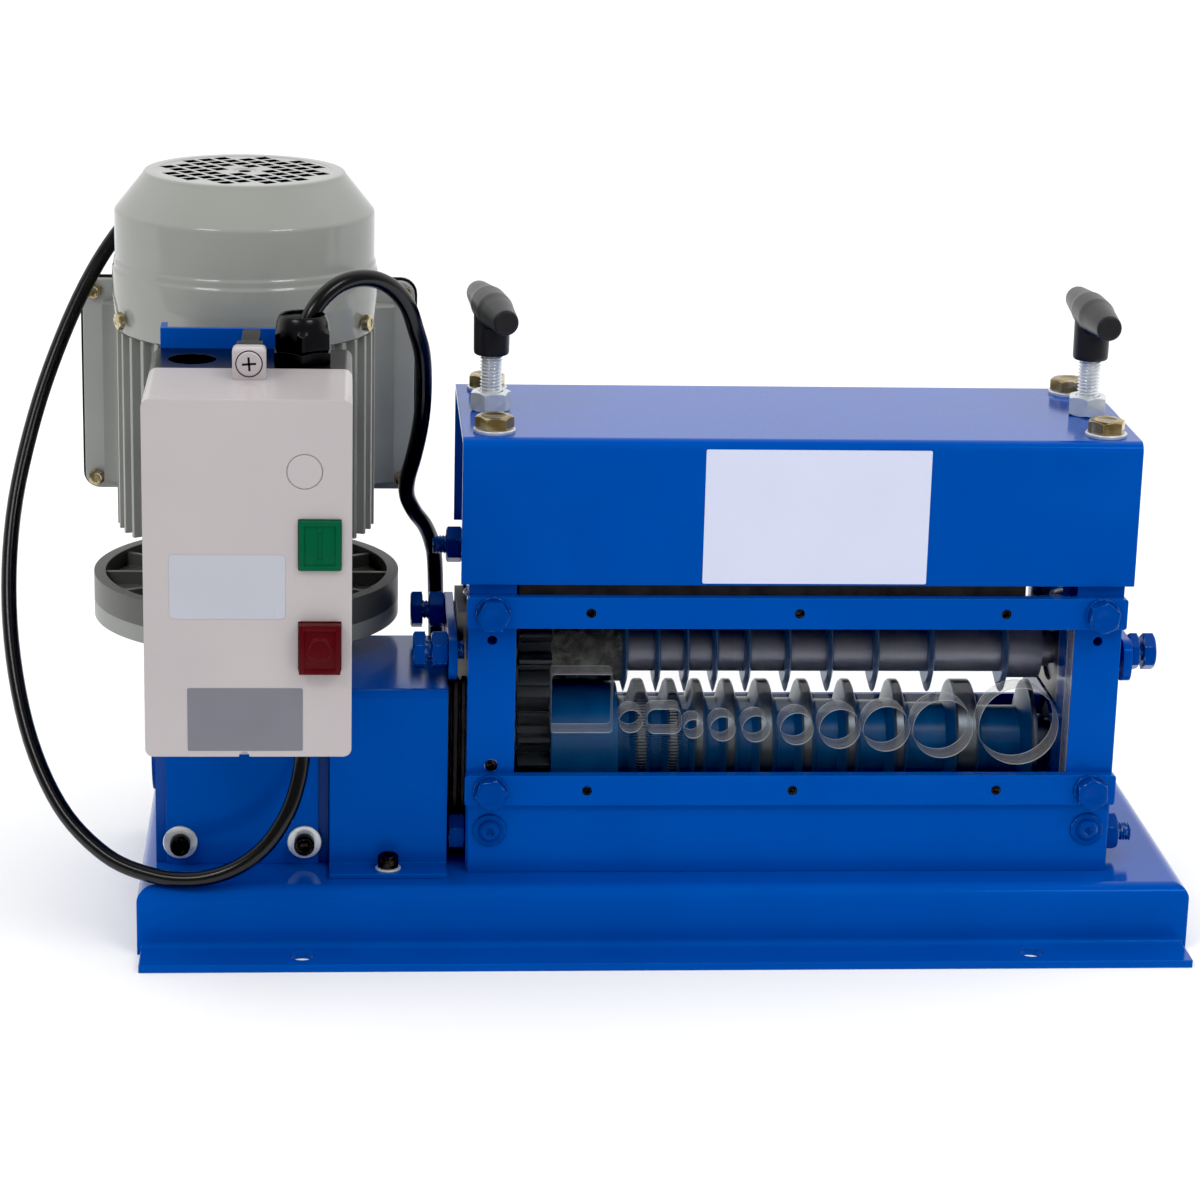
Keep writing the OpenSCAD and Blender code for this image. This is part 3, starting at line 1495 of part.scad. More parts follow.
// The switching block inside the starter, seated on its back wall
module contactor() {
    front = starter_front + starter_wall + clear + button_lip + button_depth + button_travel + clear;
    color("dimgray")
        block([starter_x - 36, front, starter_z0 + 34], [starter_x + starter_w / 2 - starter_wall - 1,
              starter_y - starter_wall, starter_z0 + 124]);
}

// A push button: a face in the cover's opening, a lip behind the wall and a plunger
module push_button(z, out) {
    y0 = starter_front - out;
    y1 = starter_front + starter_wall + clear;
    difference() {
        union() {
            translate([button_x - button_w / 2, y0, z - button_h / 2]) cube([button_w, y1 - y0, button_h]);
            translate([button_x - button_w / 2 - 1.5, y1, z - button_h / 2 - 1.5])
                cube([button_w + 3, button_lip, button_h + 3]);
            along_y([button_x, y1, z]) cylinder(r = 5, h = button_lip + button_depth);
        }
        children();
    }
}

module start_button() {
    color("green") push_button(start_z, start_out)
        block([button_x - 1.5, starter_front - start_out - eps, start_z - 8],
              [button_x + 1.5, starter_front - start_out + 0.8, start_z + 8]);
}

module stop_button() {
    color("firebrick") push_button(stop_z, stop_out)
        along_y([button_x, starter_front - stop_out - eps, stop_z]) cylinder(r = 7, h = 0.6 + eps);
}

// Places of the three cord glands, each along its own +Z
module gland_places() {
    translate([gland_x, gland_y, starter_z1]) rotate(30) children();
    translate([gland_x, gland_y, starter_z0]) rotate([180, 0, 30]) children();
    translate([terminal_gland_x, terminal_gland_y, terminal_gland_z]) rotate(30) children();
}

module cable_glands() {
    color([0.08, 0.08, 0.09])
        gland_places() {
            hexagon(gland_af, gland_base_h);
            translate([0, 0, -starter_wall - 2]) cylinder(r = gland_neck_r, h = starter_wall + 3);
        }
}

module gland_nuts() {
    hex_h = gland_nut_h * 0.55;
    color([0.08, 0.08, 0.09])
        gland_places() translate([0, 0, gland_base_h]) difference() {
            union() {
                hexagon(gland_af - 1, hex_h);
                cylinder(r1 = gland_af / 2 - 0.5, r2 = gland_bore_r + 1.5, h = gland_nut_h);
            }
            translate([0, 0, -eps]) cylinder(r = gland_bore_r, h = gland_nut_h + 2 * eps);
        }
}

// A smooth curve through a route's points, sampled evenly between them
function bend_between(a, b, c, d, t) =
    b + (c - a) * t / 2 + (2 * a - 5 * b + 4 * c - d) * t * t / 2
    + (3 * b - a - 3 * c + d) * t * t * t / 2;
function smooth(route, steps) = concat(
    [for (i = [0 : len(route) - 2], k = [0 : steps - 1])
        bend_between(route[max(i - 1, 0)], route[i], route[i + 1],
                     route[min(i + 2, len(route) - 1)], k / steps)],
    [route[len(route) - 1]]
);
route_steps = 2;
module motor_lead() {
    color([0.1, 0.1, 0.1]) tube(smooth(lead_route, route_steps), lead_d / 2, 8, [0, 1, 0]);
}

module power_cord() {
    color([0.1, 0.1, 0.1]) tube(smooth(cord_route, route_steps), cord_d / 2, 8, [0, 1, 0]);
}

// The coil: in along the lower layer, up in the half turn where the spiral reverses, out on top
loop_rings = 24;
tail = [[12, 0, 0], [23, 0, 0], [34, 0, 0]];
function ease(t) = t <= 0 ? 0 : t >= 1 ? 1 : t * t * (3 - 2 * t);
function coil_radius(u) = coil_r - coil_step * min(u, 2 * coil_turns - u);
function coil_height(u) = coil_z + coil_lift * ease((u - coil_turns + 0.25) * 2);
function coil_point(u) = [
    coil_x + coil_radius(u) * sin(360 * u), coil_y - coil_radius(u) * cos(360 * u), coil_height(u)
];
coil_path = concat(
    [cord_end], [for (k = [0 : 2 * coil_turns * loop_rings]) coil_point(k / loop_rings)],
    [for (t = tail) coil_point(2 * coil_turns) + t]
);
echo(power_cord_coil_least_gap = least_gap(coil_path, loop_rings / 2) - cord_d);

module power_cord_coil() {
    color([0.1, 0.1, 0.1]) tube(coil_path, cord_d / 2, 6, [0, 0, 1]);
}

// The moulded plug at the coil's free end
plug_at = coil_point(2 * coil_turns) + tail[len(tail) - 1];
module mains_plug() {
    color([0.1, 0.1, 0.1]) translate(plug_at) rotate([0, 90, 0]) {
        cylinder(d1 = cord_d + 1, d2 = cord_d + 5, h = 22);
        translate([0, 0, 22]) cylinder(r = plug_at.z - 0.1, h = 20);
        for (s = [-1, 1])
            translate([-3.2, s * 6.4 - 0.8, 42 - eps]) cube([6.4, 1.6, 17 + eps]);
        translate([-8, 0, 42 - eps]) cylinder(d = 4.8, h = 20 + eps);
    }
}

base_tray();
left_side_plate();
right_side_plate();
front_top_bar();
front_bottom_bar();
guard_panel();
front_panel();
back_panel();
tie_rods();
hex_nuts();
lock_nuts();
frame_bolts();
panel_screws();
plain_washers();
top_cover();
cover_bolts();
bearing_straps();
bearing_blocks();
blade_bearings();
shaft_bearings();
blade_springs();
left_handle();
left_stud();
right_handle();
right_stud();
blade_shaft();
disc_blades();
blade_spacers();
knurled_roller();
upper_gear();
feed_shaft();
feed_roller();
lower_gear();
coupling();
worm_wheel();
gearbox_housing();
worm();
motor_flange();
flange_bolts();
motor_housing();
motor_rotor();
cooling_fan();
fan_cover();
motor_screws();
terminal_box();
drive_cover();
socket_screws();
bracket_plate();
starter_base();
starter_cover();
cover_screw();
contactor();
start_button();
stop_button();
cable_glands();
gland_nuts();
motor_lead();
power_cord();
power_cord_coil();
mains_plug();
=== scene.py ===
import math
import bpy
import bmesh
from mathutils import Matrix, Quaternion, Vector


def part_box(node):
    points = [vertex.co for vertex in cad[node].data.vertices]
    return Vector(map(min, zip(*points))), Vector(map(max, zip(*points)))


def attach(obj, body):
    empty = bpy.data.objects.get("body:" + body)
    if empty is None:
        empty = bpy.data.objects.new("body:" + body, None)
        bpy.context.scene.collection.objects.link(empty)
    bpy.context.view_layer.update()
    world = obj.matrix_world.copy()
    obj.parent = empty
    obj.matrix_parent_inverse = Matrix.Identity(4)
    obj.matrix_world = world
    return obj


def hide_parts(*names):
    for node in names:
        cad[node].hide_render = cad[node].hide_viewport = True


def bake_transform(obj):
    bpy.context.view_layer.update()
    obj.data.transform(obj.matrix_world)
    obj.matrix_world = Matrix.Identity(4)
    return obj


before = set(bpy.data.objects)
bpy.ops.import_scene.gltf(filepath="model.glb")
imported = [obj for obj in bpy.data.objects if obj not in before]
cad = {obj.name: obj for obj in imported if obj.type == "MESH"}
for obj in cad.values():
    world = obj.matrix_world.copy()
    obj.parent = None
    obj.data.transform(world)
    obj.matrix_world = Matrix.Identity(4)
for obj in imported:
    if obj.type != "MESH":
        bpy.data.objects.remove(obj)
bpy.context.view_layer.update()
mm = 0.001  # sizes below are in millimetres, Blender works in metres

# shared lines: the rollers' axes, the middles of the side plates, the motor's axis and the six directions
axisY, feedHigh, bladeHigh = -6.0, 86.5, 136.5
mids = (-90.5, 217.5)
motorX, motorY = -216, 44
down, up, front, back, left, right = (0, 0, -1), (0, 0, 1), (0, -1, 0), (0, 1, 0), (-1, 0, 0), (1, 0, 0)


# colours are written as sRGB hex and handed to the shaders as linear values
def colour(code):
    parts = [int(code[i:i + 2], 16) / 255 for i in (1, 3, 5)]
    return [c / 12.92 if c <= 0.04045 else ((c + 0.055) / 1.055) ** 2.4 for c in parts] + [1.0]


# adds one node with its settings, then fills or links its inputs; a short kind is a shader node
def put(tree, kind, inputs=None, **settings):
    made = tree.nodes.new(kind if "Node" in kind else "ShaderNode" + kind)
    for key, value in settings.items():
        setattr(made, key, value)
    for key, value in (inputs or {}).items():
        if isinstance(value, bpy.types.Node):
            value = value.outputs[0]
        if isinstance(value, bpy.types.NodeSocket):
            tree.links.new(value, made.inputs[key])
        else:
            hexCode = isinstance(value, str) and value.startswith("#")
            made.inputs[key].default_value = colour(value) if hexCode else value
    return made


def link(thing):
    bpy.context.scene.collection.objects.link(thing)
    return thing


def meshPiece(name, spots, faces):
    mesh = bpy.data.meshes.new(name)
    mesh.from_pydata([Vector(p) * mm for p in spots], [], faces)
    mesh.update()
    return link(bpy.data.objects.new(name, mesh))


def smoothMesh(mesh, sharp=35):
    mesh.polygons.foreach_set("use_smooth", [True] * len(mesh.polygons))
    mesh.set_sharp_from_angle(angle=math.radians(sharp))
    mesh.update()


# joins doubled points, turns the faces outwards and smooths all but sharp edges
def tidyMesh(mesh, sharp=35, fill=False):
    work = bmesh.new()
    work.from_mesh(mesh)
    bmesh.ops.remove_doubles(work, verts=work.verts, dist=1e-6)
    if fill:
        bmesh.ops.holes_fill(work, edges=[e for e in work.edges if e.is_boundary], sides=0)
    bmesh.ops.recalc_face_normals(work, faces=work.faces)
    work.to_mesh(mesh)
    work.free()
    smoothMesh(mesh, sharp)


def tidyPiece(name, shape, sharp=35):
    piece = meshPiece(name, *shape)
    tidyMesh(piece.data, sharp)
    return piece


# faces along the axes stay flat beside their round edges
def flatFaces(mesh):
    for face in mesh.polygons:
        if max(abs(v) for v in face.normal) > 0.9995:
            face.use_smooth = False


# gives a finished piece its body, its finish and the solids it stands for
def settle(piece, body, slot, finish, *solids):
    if finish:
        piece.data.materials.clear()
        piece.data.materials.append(finish)
    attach(piece, body)
    if solids:
        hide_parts(*solids)
    return piece


# turns a piece's modifiers into plain mesh
def applyAll(piece):
    deps = bpy.context.evaluated_depsgraph_get()
    flat = bpy.data.meshes.new_from_object(piece.evaluated_get(deps), depsgraph=deps)
    piece.modifiers.clear()
    old = piece.data
    piece.data = flat
    bpy.data.meshes.remove(old)
    return piece


def cutAway(piece, cutter):
    step = piece.modifiers.new("cut", "BOOLEAN")
    step.object = cutter
    step.solver = "EXACT"
    applyAll(piece)
    bpy.data.objects.remove(cutter)


# gathers meshes into the first piece
def gather(first, *others):
    work = bmesh.new()
    for piece in (first, *others):
        work.from_mesh(piece.data)
    work.to_mesh(first.data)
    work.free()
    for piece in others:
        bpy.data.objects.remove(piece)
    smoothMesh(first.data, 38)
    return first


# skins rings of points that each go once round; a pole, where one is given, closes that end
def skinRings(rings, first=None, last=None):
    count = len(rings[0])
    spots = [p for ring in rings for p in ring]
    faces = []
    for i in range(len(rings) - 1):
        for k in range(count):
            a, b = i * count + k, i * count + (k + 1) % count
            faces.append((a, b, b + count, a + count))
    for pole, start, flip in ((first, 0, True), (last, (len(rings) - 1) * count, False)):
        if pole is not None:
            spots.append(pole)
            for k in range(count):
                a, b = start + k, start + (k + 1) % count
                faces.append((b, a, len(spots) - 1) if flip else (a, b, len(spots) - 1))
    return spots, faces


# a turned shape about +Z; each row is radius and height, or a function of the angle giving both
def turned(rows, steps=48, close=True):
    rings = []
    for row in rows:
        ring = []
        for k in range(steps):
            a = 2 * math.pi * k / steps
            r, z = row(a) if callable(row) else row
            ring.append((r * math.cos(a), r * math.sin(a), z))
        rings.append(ring)
    ends = [(0, 0, rings[0][0][2]), (0, 0, rings[-1][0][2])] if close else (None, None)
    return skinRings(rings, *ends)


# radius of a hexagon's outline at an angle
def hexRadius(flats, a):
    return flats / 2 / math.cos((a + math.pi / 6) % (math.pi / 3) - math.pi / 6)


# a rectangle's outline with round corners, once round from its right side
def roundedOutline(low, high, corner):
    turns = ((high[0] - corner, high[1] - corner), (low[0] + corner, high[1] - corner),
             (low[0] + corner, low[1] + corner), (high[0] - corner, low[1] + corner))
    out = []
    for k, (u, v) in enumerate(turns):
        for step in range(7):
            a = math.radians(90 * k + 15 * step)
            out.append((u + corner * math.cos(a), v + corner * math.sin(a)))
    return out


# a round bar bent along points
def barAlong(points, thick, sides=12):
    rings = []
    points = [Vector(p) for p in points]
    normal = None
    for i, p in enumerate(points):
        ahead = (points[min(i + 1, len(points) - 1)] - points[max(i - 1, 0)]).normalized()
        if normal is None:
            normal = ahead.orthogonal()
        normal = (normal - normal.dot(ahead) * ahead).normalized()
        across = ahead.cross(normal)
        rings.append([p + (normal * math.cos(2 * math.pi * k / sides)
                           + across * math.sin(2 * math.pi * k / sides)) * thick / 2 for k in range(sides)])
    return skinRings(rings, points[0], points[-1])


# moves a mesh from upright at the origin to a place in millimetres, its +Z along a direction
def standAt(mesh, place, along=up, spin=0.0):
    turn = Vector(along).to_track_quat("Z", "Y") @ Quaternion(up, math.radians(spin))
    mesh.transform(Matrix.Translation(Vector(place) * mm) @ turn.to_matrix().to_4x4())


# camera, fitted to the photograph: place in millimetres, angles in degrees
cameraView = {"place": (-165, -1691, 659), "pitch": 16.40, "yaw": 4.51, "roll": 1.45, "lens": 101.76}


def makeCamera(view):
    pitch, yaw, roll = (math.radians(view[k]) for k in ("pitch", "yaw", "roll"))
    ahead = Vector((math.sin(yaw) * math.cos(pitch), math.cos(yaw) * math.cos(pitch), -math.sin(pitch)))
    across = Vector((math.cos(yaw), -math.sin(yaw), 0))
    over = across.cross(ahead)
    across, over = (across * math.cos(roll) + over * math.sin(roll),
                    over * math.cos(roll) - across * math.sin(roll))
    data = bpy.data.cameras.new("photoCamera")
    data.lens = view["lens"]
    data.sensor_width = 36
    data.clip_end = 50
    made = link(bpy.data.objects.new("photoCamera", data))
    turn = Matrix((across, over, -ahead)).transposed().to_4x4()
    made.matrix_world = Matrix.Translation(Vector(view["place"]) * mm) @ turn
    bpy.context.scene.camera = made


makeCamera(cameraView)
print("camera placed")

# cords: the routes repeat the solids' points
cordSizes = {"powerThick": 8.5, "leadThick": 8.0, "coilMiddle": (40, 198), "coilRadius": 55,
             "coilStep": 9.3, "coilLift": 9.1, "coilLow": 4.35, "coilTurns": 2}
leadRoute = [
    (-185, -80, 124.7), (-185, -80, 112.7), (-185.3, -80.7, 101), (-187.5, -83.5, 88),
    (-193, -88, 73), (-204, -91, 57), (-220, -92, 45.5), (-239, -91, 40), (-260, -86.5, 40.5),
    (-284, -77, 48), (-308, -59, 68), (-326, -34, 102), (-336, -4, 148), (-336, 26, 196),
    (-326, 54, 244), (-310, 77, 288), (-292, 95, 322), (-272, 111, 345), (-249, 126, 356.5),
    (-226.5, 137.5, 353.5), (-210.5, 144.5, 341.5), (-202.3, 146.7, 327), (-200, 147, 312.8),
    (-200, 147, 299.8),
]
powerRoute = [
    (-185, -80, 311), (-183.5, -79.3, 319.2), (-180, -77.3, 327.2), (-174.6, -73.9, 334),
    (-167.2, -69.2, 339), (-158.4, -63.3, 340.8), (-149.2, -56.7, 339), (-140.7, -50, 333.1),
    (-133.9, -43.6, 323.6), (-129.6, -37.3, 310.4), (-126.2, -29.3, 297), (-125.1, -21, 281),
    (-125.3, -12.5, 264.5), (-126.8, -3, 249), (-129.3, 8, 233.5), (-131.9, 19.5, 219.5),
    (-132, 29.5, 208), (-128, 39.5, 196.8), (-122, 49.5, 186.2), (-118, 57.5, 174.5),
    (-116, 63.5, 160), (-115, 69, 124), (-114, 76, 92), (-110, 89, 64), (-100, 107, 42),
    (-84, 124, 22), (-62, 137, 8.6), (-36, 142, 4.6), (-10, 143, 4.35), (21.5, 143, 4.35),
    (31.5, 143, 4.35),
]


def smoothRoute(route, steps):
    points = [Vector(p) for p in route]
    out = []
    for i in range(len(points) - 1):
        a, b = points[max(i - 1, 0)], points[i]
        c, d = points[i + 1], points[min(i + 2, len(points) - 1)]
        for k in range(steps):
            t = k / steps
            out.append(b + (c - a) * t / 2 + (2 * a - 5 * b + 4 * c - d) * t * t / 2
                       + (3 * b - a - 3 * c + d) * t ** 3 / 2)
    return out + [points[-1]]


# winds in and out again one layer higher, then runs on to the plug
def coilRoute(s, rings):
    out = []
    for k in range(2 * s["coilTurns"] * rings + 1):
        u = k / rings
        r = s["coilRadius"] - s["coilStep"] * min(u, 2 * s["coilTurns"] - u)
        t = min(max((u - s["coilTurns"] + 0.25) * 2, 0), 1)
        high = s["coilLow"] + s["coilLift"] * t * t * (3 - 2 * t)
        out.append(Vector((s["coilMiddle"][0] + r * math.sin(2 * math.pi * u),
                           s["coilMiddle"][1] - r * math.cos(2 * math.pi * u), high)))
    end = out[-1]
    return out + [end + Vector((x, 0, 0)) for x in (12, 23, 34)]


def routeLength(points):
    return sum((b - a).length for a, b in zip(points, points[1:])) * mm


leadPoints = smoothRoute(leadRoute, 6)
powerPoints = smoothRoute(powerRoute, 6) + coilRoute(cordSizes, 48)
motorLead = tidyPiece("motorLead", barAlong(leadPoints, cordSizes["leadThick"], 24))
powerCord = tidyPiece("powerCord", barAlong(powerPoints, cordSizes["powerThick"], 24))
for piece, solids in ((motorLead, ["motor_lead"]), (powerCord, ["power_cord", "power_cord_coil"])):
    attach(piece, "frame")
    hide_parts(*solids)
print("cords laid:", round(routeLength(leadPoints), 3), round(routeLength(powerPoints), 3))


# starts a finish: plain values go on its shader, and its patterns read millimetres
def startFinish(name, values):
    made = bpy.data.materials.new(name)
    made.use_nodes = True
    tree = made.node_tree
    shader = tree.nodes["Principled BSDF"]
    for key, value in values.items():
        shader.inputs[key].default_value = value
    spots = put(tree, "TexCoord").outputs["Object"]
    inMm = put(tree, "VectorMath", {0: spots, 1: (1000, 1000, 1000)}, operation="MULTIPLY")
    return made, tree, shader, inMm


# eased edge: a rounded normal for the shader, and a mask that is 1 on the edge itself
def easedEdge(tree, radius):
    eased = put(tree, "Bevel", {"Radius": radius * mm}, samples=6)
    flat = put(tree, "NewGeometry").outputs["Normal"]
    match = put(tree, "VectorMath", {0: eased, 1: flat}, operation="DOT_PRODUCT").outputs["Value"]
    mask = put(tree, "MapRange", {"Value": match, "From Min": 0.97, "From Max": 0.80})
    return eased, mask


# ends a finish: its colour, its roughness over a pattern, and a bump (strength, depth in mm) on the eased edge
def endFinish(tree, shader, tone, pattern, rough, height, eased, lift):
    tree.links.new(tone, shader.inputs["Base Color"])
    dull = put(tree, "MapRange", {"Value": pattern, "To Min": rough[0], "To Max": rough[1]})
    tree.links.new(dull.outputs[0], shader.inputs["Roughness"])
    bump = put(tree, "Bump", {"Height": height, "Normal": eased, "Strength": lift[0], "Distance": lift[1] * mm})
    tree.links.new(bump.outputs[0], shader.inputs["Normal"])


# stove enamel on folded sheet: a hard gloss with a little orange peel, so it mirrors what stands on it;
# the eye sees the clear coat's glint at folds and a thin, paler edge
enamelLook = {"deep": "#064194", "fresh": "#0A4DA8", "thin": "#2A6AC0", "steel": "#C9D2DB", "tint": "#3D7BE6",
              "cloud": 70, "grit": 2.2, "peel": 1.3, "edge": 0.9}


def enamelFinish(name, look, gloss=0.13, worn=None):
    made, tree, shader, inMm = startFinish(name, {"IOR": 1.5, "Specular Tint": colour(look["tint"])})
    eased, edge = easedEdge(tree, look["edge"])
    cloud = put(tree, "TexNoise", {"Vector": inMm, "Scale": 1 / look["cloud"], "Detail": 3})
    tone = put(tree, "Mix", {0: cloud, 6: look["deep"], 7: look["fresh"]}, data_type="RGBA").outputs[2]
    grit = put(tree, "TexNoise", {"Vector": inMm, "Scale": 1 / look["grit"], "Detail": 4})
    rub = put(tree, "Math", {0: edge, 1: grit}, operation="MULTIPLY")
    tone = put(tree, "Mix", {0: rub, 6: tone, 7: look["thin"]}, data_type="RGBA").outputs[2]
    if worn:  # spanner marks: bare steel shows along the corners
        bare = put(tree, "MapRange", {"Value": rub, "From Min": worn, "From Max": worn + 0.08})
        tone = put(tree, "Mix", {0: bare, 6: tone, 7: look["steel"]}, data_type="RGBA").outputs[2]
        shine = put(tree, "MapRange", {"Value": bare, "To Max": 0.45})
        tree.links.new(shine.outputs[0], shader.inputs["Metallic"])
    peel = put(tree, "TexNoise", {"Vector": inMm, "Scale": 1 / look["peel"], "Detail": 1.5})
    endFinish(tree, shader, tone, cloud, (gloss * 0.8, gloss * 1.35), peel, eased, (0.09, 0.3))
    return made


# plated steel: metal with patches of haze, so glints break up; tints follow the chromate film
def platedFinish(name, tones, patch, rough, edge=0.5, metal=1.0):
    made, tree, shader, inMm = startFinish(name, {"Metallic": metal})
    eased, rim = easedEdge(tree, edge)
    film = put(tree, "TexNoise", {"Vector": inMm, "Scale": 1 / patch, "Detail": 3, "Distortion": 0.6})
    ramp = put(tree, "ValToRGB", {0: film})
    stops = ramp.color_ramp.elements
    for k, tone in enumerate(tones):
        stop = stops[k] if k < 2 else stops.new(0.7)
        stop.position = 0.3 + 0.2 * k
        stop.color = colour(tone)
    bright = put(tree, "Mix", {0: rim, 6: ramp, 7: tones[-1]}, data_type="RGBA").outputs[2]
    grain = put(tree, "TexNoise", {"Vector": inMm, "Scale": 1 / 0.5, "Detail": 2})
    endFinish(tree, shader, bright, film, (rough * 0.7, rough * 1.4), grain, eased, (0.08, 0.1))
    return made


# coordinates of what is turned about a roller's axis: along it, its two sides, out from it, and a lathe's own
def latheSpace(tree, inMm, axisHigh):
    split = put(tree, "SeparateXYZ", {0: inMm})
    y = put(tree, "Math", {0: split.outputs[1], 1: -axisY}, operation="ADD")
    z = put(tree, "Math", {0: split.outputs[2], 1: axisHigh}, operation="SUBTRACT")
    sides = put(tree, "CombineXYZ", {1: y, 2: z})
    reach = put(tree, "VectorMath", {0: sides}, operation="LENGTH").outputs["Value"]
    lathe = put(tree, "CombineXYZ", {0: split.outputs[0], 1: reach})
    return split.outputs[0], y, z, reach, lathe


# steel turned on a lathe about the roller axis: fine rings run round it, drawn 0.5 mm apart so that they show
def turnedFinish(name, tones, rough, axisHigh, ring=0.5, metal=1.0):
    made, tree, shader, inMm = startFinish(name, {"Metallic": metal})
    eased, rim = easedEdge(tree, 0.4)
    lathe = latheSpace(tree, inMm, axisHigh)[-1]
    rings = put(tree, "TexNoise", {"Vector": lathe, "Scale": 1 / ring, "Detail": 3})
    stain = put(tree, "TexNoise", {"Vector": inMm, "Scale": 1 / 14, "Detail": 4})
    both = put(tree, "Mix", {0: 0.45, 2: rings, 3: stain})
    tone = put(tree, "Mix", {0: both, 6: tones[0], 7: tones[1]}, data_type="RGBA").outputs[2]
    bright = put(tree, "Mix", {0: rim, 6: tone, 7: tones[2]}, data_type="RGBA").outputs[2]
    endFinish(tree, shader, bright, both, (rough * 0.7, rough * 1.4), rings, eased, (0.12, 0.1))
    return made


# feed roller: blue enamel on the turned body, rubbed back to steel on the crests that grip the cable; its blue is
# partly the enamel and partly a painted reflection of the blue frame around it
rollerLook = {"deep": "#083C72", "fresh": "#145C92", "bare": "#8C949B", "crest": (28.6, 30.4), "ragged": 2.4,
              "ring": 0.5, "teeth": (-20.0, 14.0), "count": 118.0}


def rollerFinish(name, look):
    made, tree, shader, inMm = startFinish(name, {"IOR": 1.5, "Specular IOR Level": 0.4})
    eased = easedEdge(tree, 0.5)[0]
    x, y, z, reach, lathe = latheSpace(tree, inMm, feedHigh)
    stain = put(tree, "TexNoise", {"Vector": inMm, "Scale": 1 / 9, "Detail": 4})
    ragged = put(tree, "Math", {0: stain, 1: look["ragged"], 2: reach}, operation="MULTIPLY_ADD")
    low, high = (r + look["ragged"] / 2 for r in look["crest"])
    rubbed = put(tree, "MapRange", {"Value": ragged, "From Min": low, "From Max": high})
    # the blue wash is partly enamel and partly painted reflection of the blue frame
    wash = put(tree, "Mix", {0: stain, 6: look["deep"], 7: look["fresh"]}, data_type="RGBA").outputs[2]
    tone = put(tree, "Mix", {0: rubbed, 6: wash, 7: look["bare"]}, data_type="RGBA").outputs[2]
    tree.links.new(rubbed.outputs[0], shader.inputs["Metallic"])
    rings = put(tree, "TexNoise", {"Vector": lathe, "Scale": 1 / look["ring"], "Detail": 3})  # tool marks
    # the two narrow crests are serrated, about 1.6 mm apart
    turn = put(tree, "Math", {0: y, 1: z}, operation="ARCTAN2")
    steps = put(tree, "Math", {0: turn, 1: look["count"]}, operation="MULTIPLY")
    wave = put(tree, "Math", {0: steps}, operation="SINE")
    first, last = (put(tree, "MapRange", {"Value": x, "From Min": end, "From Max": end + inwards})
                   for end, inwards in zip(look["teeth"], (0.5, -0.5)))
    band = put(tree, "Math", {0: first, 1: last}, operation="MULTIPLY")
    teeth = put(tree, "Math", {0: wave, 1: band}, operation="MULTIPLY")
    marks = put(tree, "Math", {0: teeth, 1: 2.5, 2: rings}, operation="MULTIPLY_ADD")
    endFinish(tree, shader, tone, marks, (0.22, 0.42), marks, eased, (0.3, 0.2))
    return made


# moulded or painted skins without metal: a base tone, faint mottling and a fine grain under the gloss; along the
# eased edges the palest tone is a painted highlight
def skinFinish(name, tones, patch, rough, grain, lift, edge=0.6, spec=0.5, dip=None):
    made, tree, shader, inMm = startFinish(name, {"IOR": 1.5, "Specular IOR Level": spec})
    eased, rim = easedEdge(tree, edge)
    mottle = put(tree, "TexNoise", {"Vector": inMm, "Scale": 1 / patch, "Detail": 4})
    tone = put(tree, "Mix", {0: mottle, 6: tones[0], 7: tones[1]}, data_type="RGBA").outputs[2]
    # painted highlight: the eased edges take the palest tone, broken by the mottling
    edgeHighlight = put(tree, "Math", {0: rim, 1: mottle}, operation="MULTIPLY")
    tone = put(tree, "Mix", {0: edgeHighlight, 6: tone, 7: tones[2]}, data_type="RGBA").outputs[2]
    if dip:  # another coat below this height
        high = put(tree, "SeparateXYZ", {0: inMm}).outputs[2]
        upper = put(tree, "Math", {0: high, 1: dip[0]}, operation="GREATER_THAN")
        tone = put(tree, "Mix", {0: upper, 6: dip[1], 7: tone}, data_type="RGBA").outputs[2]
    fine = put(tree, "TexNoise", {"Vector": inMm, "Scale": 1 / grain, "Detail": 2})
    endFinish(tree, shader, tone, mottle, (rough * 0.8, rough * 1.25), fine, eased, (lift, 0.2))
    return made


# cast acrylic, 15 mm: clear through its polished faces, while drilled walls stay frosted with drill rings; a pale,
# more opaque band at each end of a wall is a painted highlight on the hole rims
acrylicLook = {"clear": "#F0F6F7", "frost": "#A9A8A6", "lip": "#F4F5F5", "rings": 0.9, "middle": -58.5,
               "half": 7.5, "highlightWide": 1.7, "veil": 0.07, "cloud": 0.46}


